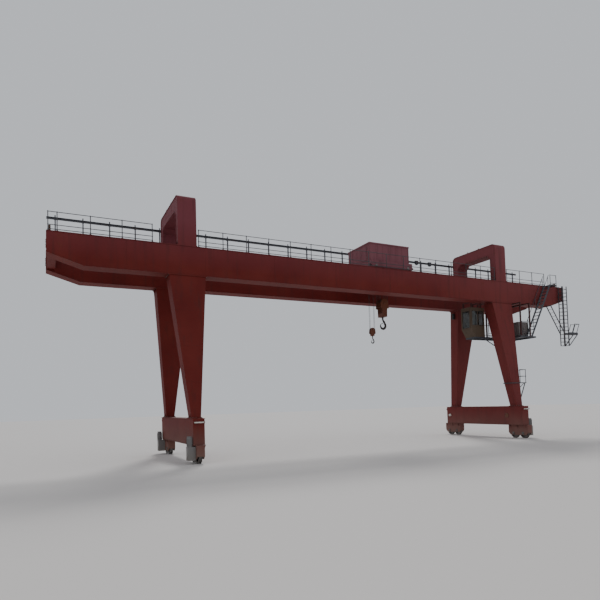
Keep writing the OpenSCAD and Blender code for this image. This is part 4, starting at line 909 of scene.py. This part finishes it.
def add_cabinet_details():
    """Doors, hinges, handles, louvres, roof and cable glands of the switch cabinet."""
    doors = Piece("cabinet_doors", "cabinet_paint")
    fittings = Piece("cabinet_fittings", "wheel_steel", look="bolt_steel")
    low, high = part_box("deck_cabinet")
    middle = (low[0] + high[0]) / 2
    for side, faces in ((FRONT, low[1]), (REAR, high[1])):
        for a, b in ((low[0] + 0.02, middle - 0.005), (middle + 0.005, high[0] - 0.02)):
            doors.block((a, min(faces, faces + side * 0.016), low[2] + 0.07),
                        (b, max(faces, faces + side * 0.016), high[2] - 0.06), 0.005)
            for i in range(6):
                z = low[2] + 0.16 + 0.028 * i
                doors.plate([(a + 0.09, faces + side * 0.016, z), (a + 0.09, faces + side * 0.028, z - 0.008),
                             (a + 0.09, faces + side * 0.016, z + 0.018)], (1, 0, 0), b - a - 0.18)
            hinge = a if a < middle - 0.1 else b
            for z in (low[2] + 0.2, high[2] - 0.2):
                fittings.turned((hinge, faces + side * 0.018, z), (0, 0, 1),
                                [(0.009, 0), (0.009, 0.06), (0.006, 0.064)], 12)
        for way in (-1, 1):
            x = middle + way * 0.05
            fittings.post(x, faces + side * 0.022, low[2] + 0.6, (0.024, 0.014, 0.12), 0.004)
            fittings.tube([(x, faces + side * 0.024, low[2] + 0.56), (x, faces + side * 0.05, low[2] + 0.575),
                           (x, faces + side * 0.05, low[2] + 0.625), (x, faces + side * 0.024, low[2] + 0.64)],
                          0.006, 8)
    doors.block((low[0] - 0.025, low[1] - 0.03, high[2]), (high[0] + 0.025, high[1] + 0.03, high[2] + 0.018), 0.005)
    doors.block((low[0] + 0.01, low[1] - 0.004, low[2]), (high[0] - 0.01, high[1] + 0.004, low[2] + 0.05), 0.004)
    for y in spread(low[1] + 0.1, high[1] - 0.1, 4):
        fittings.turned((low[0], y, low[2] + 0.16), (-1, 0, 0),
                        [(0.02, 0), (0.02, 0.012), (0.016, 0.012), (0.016, 0.03), (0.009, 0.034)], 12)
        fittings.tube([(low[0] - 0.03, y, low[2] + 0.16), (low[0] - 0.06, y, low[2] + 0.14),
                       (low[0] - 0.07, y, low[2] + 0.08), (low[0] - 0.07, y, low[2])], 0.009, 10)
    doors.make()
    fittings.make()


def add_cabin_details():
    """Window frames, gaskets, roof edge, door frame, panel screws, wiper and the driver's console."""
    trim = Piece("cabin_trim", "cabin_paint")
    gaskets = Piece("cabin_gaskets", "cabinet_paint", look="rubber")
    screws = Piece("cabin_screws", "wheel_steel", look="bolt_steel")
    inside = Piece("cabin_console", "cabinet_paint")
    low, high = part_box("cabin_shell")
    bar, proud = 0.045, 0.014
    window_x = (low[0] + 0.12, high[0] - 0.12)
    window_z = (low[2] + 0.8, low[2] + 1.8)
    front_y = (low[1] + 0.12, high[1] - 0.12)
    front_z = (low[2] + 0.63, low[2] + 1.8)
    side_pane = [(window_x[0], window_z[0]), (window_x[1], window_z[0]), (window_x[1], window_z[1]),
                 (window_x[0], window_z[1])]
    front_pane = [(front_y[0], front_z[0]), (front_y[1], front_z[0]), (front_y[1], front_z[1]),
                  (front_y[0], front_z[1])]
    middle_y = (low[1] + high[1]) / 2
    door = [(middle_y - 0.31, low[2] + 0.05), (middle_y + 0.31, low[2] + 0.05), (middle_y + 0.31, low[2] + 1.8),
            (middle_y - 0.31, low[2] + 1.8)]

    def along(axis, plane, flat):
        return (plane, flat[0], flat[1]) if axis == 0 else (flat[0], plane, flat[1])

    def frame_bars(part, outline, near, far, axis, plane, depth):
        """Mitred bars round an opening, between two distances outside its outline."""
        rings = [[along(axis, plane, flat) for flat in grown(outline, away)] for away in (near, far)]
        way = (depth, 0, 0) if axis == 0 else (0, depth, 0)
        for i in range(len(outline)):
            j = (i + 1) % len(outline)
            part.plate([rings[0][i], rings[0][j], rings[1][j], rings[1][i]], way, abs(depth))

    for plane, facing in ((low[1], -1), (high[1], 1)):
        frame_bars(trim, side_pane, 0.0, bar, 1, plane, facing * proud)
        frame_bars(gaskets, side_pane, -0.014, 0.0, 1, plane - facing * 0.012, facing * 0.006)
        middle_x = (window_x[0] + window_x[1]) / 2
        thick = sorted((plane + facing * proud, plane - facing * 0.02))
        trim.block((middle_x - 0.018, thick[0], window_z[0]), (middle_x + 0.018, thick[1], window_z[1]), 0.003)
        for x in spread(low[0] + 0.42, high[0] - 0.08, 6):
            screws.bolt((x, plane, low[2] + 0.06), (0, facing, 0), 0.014)
        for x in spread(low[0] + 0.08, high[0] - 0.08, 7):
            screws.bolt((x, plane, low[2] + 0.66), (0, facing, 0), 0.014)
    frame_bars(trim, front_pane, 0.0, bar, 0, low[0], -proud)
    frame_bars(gaskets, front_pane, -0.014, 0.0, 0, low[0] + 0.012, -0.006)
    frame_bars(trim, door, 0.0, 0.05, 0, high[0], 0.016)
    roof_low, roof_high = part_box("cabin_roof")
    trim.block((roof_low[0] - 0.012, roof_low[1] - 0.0, roof_high[2]), (roof_high[0] + 0.012, roof_low[1] + 0.03,
                                                                       roof_high[2] + 0.025), 0.004)
    trim.block((roof_low[0] - 0.012, roof_high[1] - 0.03, roof_high[2]), (roof_high[0] + 0.012, roof_high[1],
                                                                         roof_high[2] + 0.025), 0.004)
    for x in (roof_low[0] - 0.012, roof_high[0] - 0.018):
        trim.block((x, roof_low[1] + 0.03, roof_high[2]), (x + 0.03, roof_high[1] - 0.03, roof_high[2] + 0.025), 0.004)
    pivot = Vector((low[0] - 0.02, (front_y[0] + front_y[1]) / 2, front_z[0] - 0.03))
    gaskets.tube([pivot, pivot + Vector((-0.012, 0.05, 0.18)), pivot + Vector((-0.012, 0.14, 0.42))], 0.007, 8)
    gaskets.tube([pivot + Vector((-0.006, 0.08, 0.22)), pivot + Vector((-0.006, 0.20, 0.62))], 0.009, 8)
    gaskets.turned(pivot + Vector((0.02, 0, 0)), (-1, 0, 0), [(0.022, 0), (0.022, 0.02), (0.012, 0.028)], 14)
    desk_x = (low[0] + 0.30, low[0] + 0.62)
    desk_y = ((low[1] + high[1]) / 2 - 0.3, (low[1] + high[1]) / 2 + 0.3)
    inside.plate([(desk_x[0], desk_y[0], low[2] + 0.62), (desk_x[1], desk_y[0], low[2] + 0.56),
                  (desk_x[1], desk_y[0], low[2] + 0.66), (desk_x[0], desk_y[0], low[2] + 0.76)],
                 (0, 1, 0), desk_y[1] - desk_y[0])
    for y in (desk_y[0] + 0.12, desk_y[1] - 0.12):
        inside.tube([(desk_x[0] + 0.16, y, low[2] + 0.70), (desk_x[0] + 0.14, y, low[2] + 0.84)], 0.009, 10)
        inside.dome((desk_x[0] + 0.14, y, low[2] + 0.83), (0, 0, 1), 0.022, 0.026, 14, 0.012)
        inside.turned((desk_x[0] + 0.16, y, low[2] + 0.69), (0, 0, 1), [(0.045, 0), (0.04, 0.02), (0.012, 0.03)], 16)
    inside.block((desk_x[1] - 0.26, desk_y[0] + 0.05, low[2] + 0.05), (desk_x[1] - 0.06, desk_y[1] - 0.05,
                                                                      low[2] + 0.60), 0.01)
    for part in (trim, gaskets, screws, inside):
        part.make()


# Trolley and hooks

def add_house_details():
    """Battens, drip edge, hatch, louvres and roof seams of the trolley's house."""
    battens = Piece("house_battens", "house_paint", "trolley")
    hatch = Piece("house_hatch", "house_paint", "trolley")
    bolts = Piece("house_bolts", "wheel_steel", "trolley", "bolt_steel")
    low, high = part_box("trolley_house")
    eave = 0.025
    x0, x1 = low[0] + eave, high[0] - eave
    y = high[1] - eave
    base, top = low[2], high[2] - 0.04
    for side in (FRONT, REAR):
        plane = sorted((side * y, side * (y + 0.010)))
        for x in spread(x0 + 0.03, x1 - 0.03, 7):
            battens.block((x - 0.028, plane[0], base), (x + 0.028, plane[1], top), 0.003)
            for z in spread(base + 0.14, top - 0.1, 5):
                bolts.bolt((x, side * (y + 0.010), z), (0, side, 0), 0.012)
        foot = sorted((side * y, side * (y + 0.016)))
        battens.block((x0, foot[0], base), (x1, foot[1], base + 0.07), 0.003)
        drip = sorted((side * (y + eave - 0.004), side * (y + eave + 0.008)))
        battens.block((x0 - eave, drip[0], top - 0.03), (x1 + eave, drip[1], high[2] + 0.012), 0.003)
        for a in (x0 + 0.62, x1 - 1.12):
            if side == FRONT:
                continue
            plane = side * (y + 0.002)
            for z in spread(base + 0.62, base + 0.94, 9):
                hatch.plate([(a, plane, z), (a, plane + side * 0.022, z - 0.02), (a, plane + side * 0.024, z - 0.014),
                             (a, plane, z + 0.012)], (1, 0, 0), 0.42)
            for x in (a - 0.02, a + 0.42):
                edge = sorted((plane, plane + side * 0.026))
                hatch.block((x, edge[0], base + 0.58), (x + 0.02, edge[1], base + 0.97), 0.003)
    for x, way in ((x0, -1), (x1, 1)):
        plane = sorted((x, x + way * 0.010))
        for along in spread(-y + 0.03, y - 0.03, 6):
            battens.block((plane[0], along - 0.028, base), (plane[1], along + 0.028, top), 0.003)
            for z in spread(base + 0.14, top - 0.1, 5):
                bolts.bolt((x + way * 0.010, along, z), (way, 0, 0), 0.012)
        drip = sorted((x + way * (eave - 0.004), x + way * (eave + 0.008)))
        battens.block((drip[0], -y - eave, top - 0.03), (drip[1], y + eave, high[2] + 0.012), 0.003)
        leaf = sorted((x + way * 0.010, x + way * 0.026))
        hatch.block((leaf[0], -0.92, base + 0.1), (leaf[1], -0.30, base + 0.98), 0.006)
        for z in (base + 0.25, base + 0.8):
            bolts.turned((x + way * 0.03, -0.93, z), (0, 0, 1), [(0.011, 0), (0.011, 0.08), (0.007, 0.085)], 12)
        bolts.tube([(x + way * 0.02, -0.36, base + 0.5), (x + way * 0.055, -0.36, base + 0.52),
                    (x + way * 0.055, -0.36, base + 0.62), (x + way * 0.02, -0.36, base + 0.64)], 0.007, 8)
    for x in spread(x0 + 0.28, x1 - 0.28, 6):
        battens.block((x - 0.011, -y - eave, high[2]), (x + 0.011, y + eave, high[2] + 0.022), 0.004)
    for part in (battens, hatch, bolts):
        part.make()


def add_trolley_details():
    """Axle covers, deck bolts and rubber buffer faces of the trolley's frame."""
    caps = Piece("trolley_caps", "wheel_steel", "trolley")
    bolts = Piece("trolley_bolts", "wheel_steel", "trolley", "bolt_steel")
    pads = Piece("trolley_pads", "dark_steel", "trolley", "rubber")
    low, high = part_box("trolley_frame")
    wheels_low, wheels_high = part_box("trolley_wheels")
    axle_z = (wheels_low[2] + wheels_high[2]) / 2
    wheel_x = (wheels_low[0] + 0.198, wheels_high[0] - 0.198)
    deck = high[2]
    for side in (FRONT, REAR):
        for x in wheel_x:
            face = side * high[1]
            caps.turned((x, face, axle_z), (0, side, 0), [(0.085, 0), (0.085, 0.012), (0.078, 0.017), (0, 0.017)], 28)
            for i in range(6):
                angle = math.pi / 3 * i
                bolts.bolt((x + 0.066 * math.cos(angle), face + side * 0.017, axle_z + 0.066 * math.sin(angle)),
                           (0, side, 0), 0.016)
        for x in spread(low[0] + 0.2, high[0] - 0.2, 12):
            bolts.bolt((x, side * (high[1] - 0.09), deck), (0, 0, 1), 0.02)
        for end, x in ((-1, low[0]), (1, high[0])):
            pads.turned((x, side * RAIL_Y, 11.15), (end, 0, 0),
                        [(0.064, -0.05), (0.069, -0.045), (0.069, -0.008), (0.062, 0.001), (0, 0.001)], 24)
    for part in (caps, bolts, pads):
        part.make()


def add_block_details(prefix, x, z, d, cheek, drop, shank):
    """Axle covers, spacer bolts and trunnion caps of one hook block."""
    caps = Piece(prefix + "_block_caps", "block_paint", "trolley")
    bolts = Piece(prefix + "_block_bolts", "wheel_steel", "trolley", "bolt_steel")
    radius = d * 0.19
    for side in (FRONT, REAR):
        face = side * cheek
        caps.turned((x, face, z), (0, side, 0), [(radius, 0), (radius, 0.014), (radius * 0.93, 0.02), (0, 0.02)], 28)
        for i in range(6):
            angle = math.pi / 3 * i
            bolts.bolt((x + radius * 0.72 * math.cos(angle), face + side * 0.02, z + radius * 0.72 * math.sin(angle)),
                       (0, side, 0), d * 0.03)
        low = z - drop
        caps.turned((x, face, low), (0, side, 0),
                    [(shank * 0.62, 0), (shank * 0.62, 0.012), (shank * 0.55, 0.018), (0, 0.018)], 24)
        for way in (-1, 1):
            bolts.bolt((x + way * shank * 0.9, face, low), (0, side, 0), shank * 0.2)
            for share in ((0.42, 0.16), (0.49, -0.44)):
                bolts.bolt((x + way * d * share[0], face, z + d * share[1]), (0, side, 0), d * 0.055)
    for way in (-1, 1):
        for share in ((0.42, 0.16), (0.49, -0.44)):
            caps.tube([(x + way * d * share[0], -cheek + 0.01, z + d * share[1]),
                       (x + way * d * share[0], cheek - 0.01, z + d * share[1])], d * 0.028, 12)
    caps.make()
    bolts.make()


def add_hook_details(prefix, body, x, nut_top, nut, block_low, shank):
    """Locking plate on the nut and collar under the crosshead, turning with the hook."""
    steel = Piece(prefix + "_hook_collar", "hook_steel", body)
    plate = 0.2 * shank
    steel.post(x, 0, nut_top + plate / 2, (shank * 1.1, shank * 0.35, plate), plate * 0.2)
    for way in (-1, 1):
        steel.bolt((x + way * shank * 0.36, 0, nut_top + plate), (0, 0, 1), shank * 0.18)
    steel.turned((x, 0, block_low - 0.008), (0, 0, -1),
                 [(shank * 0.5, 0), (shank * 0.72, 0.002), (shank * 0.72, shank * 0.22), (shank * 0.5, shank * 0.3)], 28)
    steel.make()


def add_hook_latch(prefix, body, x, bottom, throat):
    """The sprung latch that closes a hook's mouth, on its pin through the neck."""
    latch = Piece(prefix + "_hook_latch", "hook_steel", body)
    middle = bottom + 1.9 * throat

    def spot(flat, y=0.0):
        return (x + flat[0] * throat, y * throat, middle + flat[1] * throat)

    blade = [(0.55, 1.44), (-1.02, 0.72), (-1.10, 0.56), (-0.98, 0.52), (0.40, 1.16)]
    latch.plate([spot(flat, -0.30) for flat in blade], (0, 1, 0), 0.05 * throat)
    latch.plate([spot(flat, 0.25) for flat in blade], (0, 1, 0), 0.05 * throat)
    crown = [(0.50, 1.42), (-1.00, 0.73), (-1.06, 0.68), (0.46, 1.38)]
    latch.plate([spot(flat, -0.27) for flat in crown], (0, 1, 0), 0.54 * throat)
    pin = (0.46, 1.28)
    latch.tube([spot(pin, -0.56), spot(pin, 0.56)], 0.06 * throat, 12)
    for side in (-1, 1):
        latch.bolt(spot(pin, side * 0.56), (0, side, 0), 0.16 * throat)
    coil = []
    for i in range(61):
        angle = 2 * math.pi * i / 12
        coil.append(spot((pin[0] + 0.10 * math.cos(angle), pin[1] + 0.10 * math.sin(angle)), -0.2 + 0.4 * i / 60))
    latch.tube(coil, 0.022 * throat, 6)
    latch.make()


def add_leg_lamp():
    """The upright floodlight tight to the inner face of the far right leg."""
    lamp = Piece("leg_lamp", "dark_steel", look="rubber")
    pane = Piece("leg_lamp_pane", "dark_steel", look="rubber")
    z, tall, wide, deep = 8.90, 0.42, 0.22, 0.13
    y = leg_box(RIGHT, z)[2]
    foot = FRAME_X[RIGHT] - leg_box(RIGHT, z + tall / 2)[0]
    lamp.post(foot - 0.012, y, z, (0.05, 0.12, 0.3), 0.004)
    for side in (-1, 1):
        lamp.tube([(foot - 0.02, y + side * 0.05, z), (foot - 0.03, y + side * (wide / 2 + 0.015), z),
                   (foot - 0.03 - deep / 2, y + side * (wide / 2 + 0.015), z)], 0.012, 10)
    back = foot - 0.04
    lamp.block((back - deep, y - wide / 2, z - tall / 2), (back, y + wide / 2, z + tall / 2), 0.014)
    for step in spread(-wide / 2 + 0.03, wide / 2 - 0.03, 7):
        lamp.plate([(back, y + step - 0.004, z - tall / 2 + 0.03), (back + 0.02, y + step - 0.004, z - tall / 2 + 0.05),
                    (back + 0.02, y + step - 0.004, z + tall / 2 - 0.05), (back, y + step - 0.004, z + tall / 2 - 0.03)],
                   (0, 1, 0), 0.008)
    lamp.plate([(back - deep, y - wide / 2, z + tall / 2), (back - deep - 0.05, y - wide / 2, z + tall / 2 - 0.01),
                (back - deep, y - wide / 2, z + tall / 2 - 0.02)], (0, 1, 0), wide)
    pane.post(back - deep, y, z, (0.012, wide - 0.06, tall - 0.06), 0.004)
    lamp.make()
    pane.make()


# Camera, floor and light

LENS_MM = 30.87
SENSOR_MM = 36.0
SHIFT_Y = 0.136
CAMERA_PLACE = Vector((-18.094, -27.463, 2.65))
YAW = math.radians(26.5)
PITCH = math.radians(2.546)
ROLL = math.radians(-1.638)


def add_camera():
    """The camera stands where the photo was taken: low, in front of the left end, the lens shifted up."""
    data = bpy.data.cameras.new("camera")
    data.lens = LENS_MM
    data.sensor_width = SENSOR_MM
    data.shift_y = SHIFT_Y
    data.clip_start = 0.1
    data.clip_end = 500
    cam = bpy.data.objects.new("camera", data)
    bpy.context.scene.collection.objects.link(cam)
    ahead = Vector((math.sin(YAW) * math.cos(PITCH), math.cos(YAW) * math.cos(PITCH), math.sin(PITCH)))
    level = Vector((math.cos(YAW), -math.sin(YAW), 0))
    up = level.cross(ahead)
    right = level * math.cos(ROLL) + up * math.sin(ROLL)
    upward = up * math.cos(ROLL) - level * math.sin(ROLL)
    turn = Matrix((right, upward, -ahead)).transposed().to_4x4()
    cam.matrix_world = Matrix.Translation(CAMERA_PLACE) @ turn
    bpy.context.scene.camera = cam


def add_floor():
    mesh = bpy.data.meshes.new("floor")
    half = 150
    mesh.from_pydata([(-half, -half, 0), (half, -half, 0), (half, half, 0), (-half, half, 0)], [], [(0, 1, 2, 3)])
    floor = bpy.data.objects.new("floor", mesh)
    bpy.context.scene.collection.objects.link(floor)
    material = bpy.data.materials.new("floor")
    material.use_nodes = True
    shader = material.node_tree.nodes["Principled BSDF"]
    shader.inputs["Base Color"].default_value = (0.62, 0.59, 0.565, 1)
    shader.inputs["Roughness"].default_value = 0.9
    mesh.materials.append(material)


def add_light():
    """A bright even sky with a soft sun behind the crane, as on a hazy day."""
    world = bpy.data.worlds.new("sky")
    world.use_nodes = True
    world.node_tree.nodes["Background"].inputs["Color"].default_value = (0.80, 0.83, 0.88, 1)
    world.node_tree.nodes["Background"].inputs["Strength"].default_value = 0.75
    bpy.context.scene.world = world
    sun = bpy.data.lights.new("sun", "SUN")
    sun.energy = 1.6
    sun.angle = math.radians(14)
    lamp = bpy.data.objects.new("sun", sun)
    lamp.matrix_world = Vector((0.33, 0.62, 0.71)).to_track_quat("Z", "Y").to_matrix().to_4x4()
    bpy.context.scene.collection.objects.link(lamp)


dress_frame()
add_girder_details()
add_saddle_details()
add_leg_details()
add_ground_details()
add_drive_details()
add_rail_clips()
add_handrail_details()
add_track_details()
add_stair_details()
add_deck_details()
add_tip_details()
add_saddle_eyes()
add_cabinet_details()
add_cabin_details()
add_house_details()
add_trolley_details()
MAIN_BLOCK = (1.77, 9.10)
SMALL_BLOCK = (0.92, 7.29)
add_block_details("main", MAIN_BLOCK[0], MAIN_BLOCK[1], 0.56, 0.272, 0.784, 0.11)
add_block_details("small", SMALL_BLOCK[0], SMALL_BLOCK[1], 0.34, 0.098, 0.289, 0.062)
add_hook_details("main", "main_hook", 1.77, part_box("main_hook")[1][2], 0.04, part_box("main_hook_block")[0][2], 0.11)
add_hook_details("small", "small_hook", 0.92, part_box("small_hook")[1][2], 0.024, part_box("small_hook_block")[0][2],
                 0.062)
add_hook_latch("main", "main_hook", 1.77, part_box("main_hook")[0][2], 0.15)
add_hook_latch("small", "small_hook", 0.92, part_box("small_hook")[0][2], 0.078)
add_leg_lamp()
add_camera()
add_floor()
add_light()
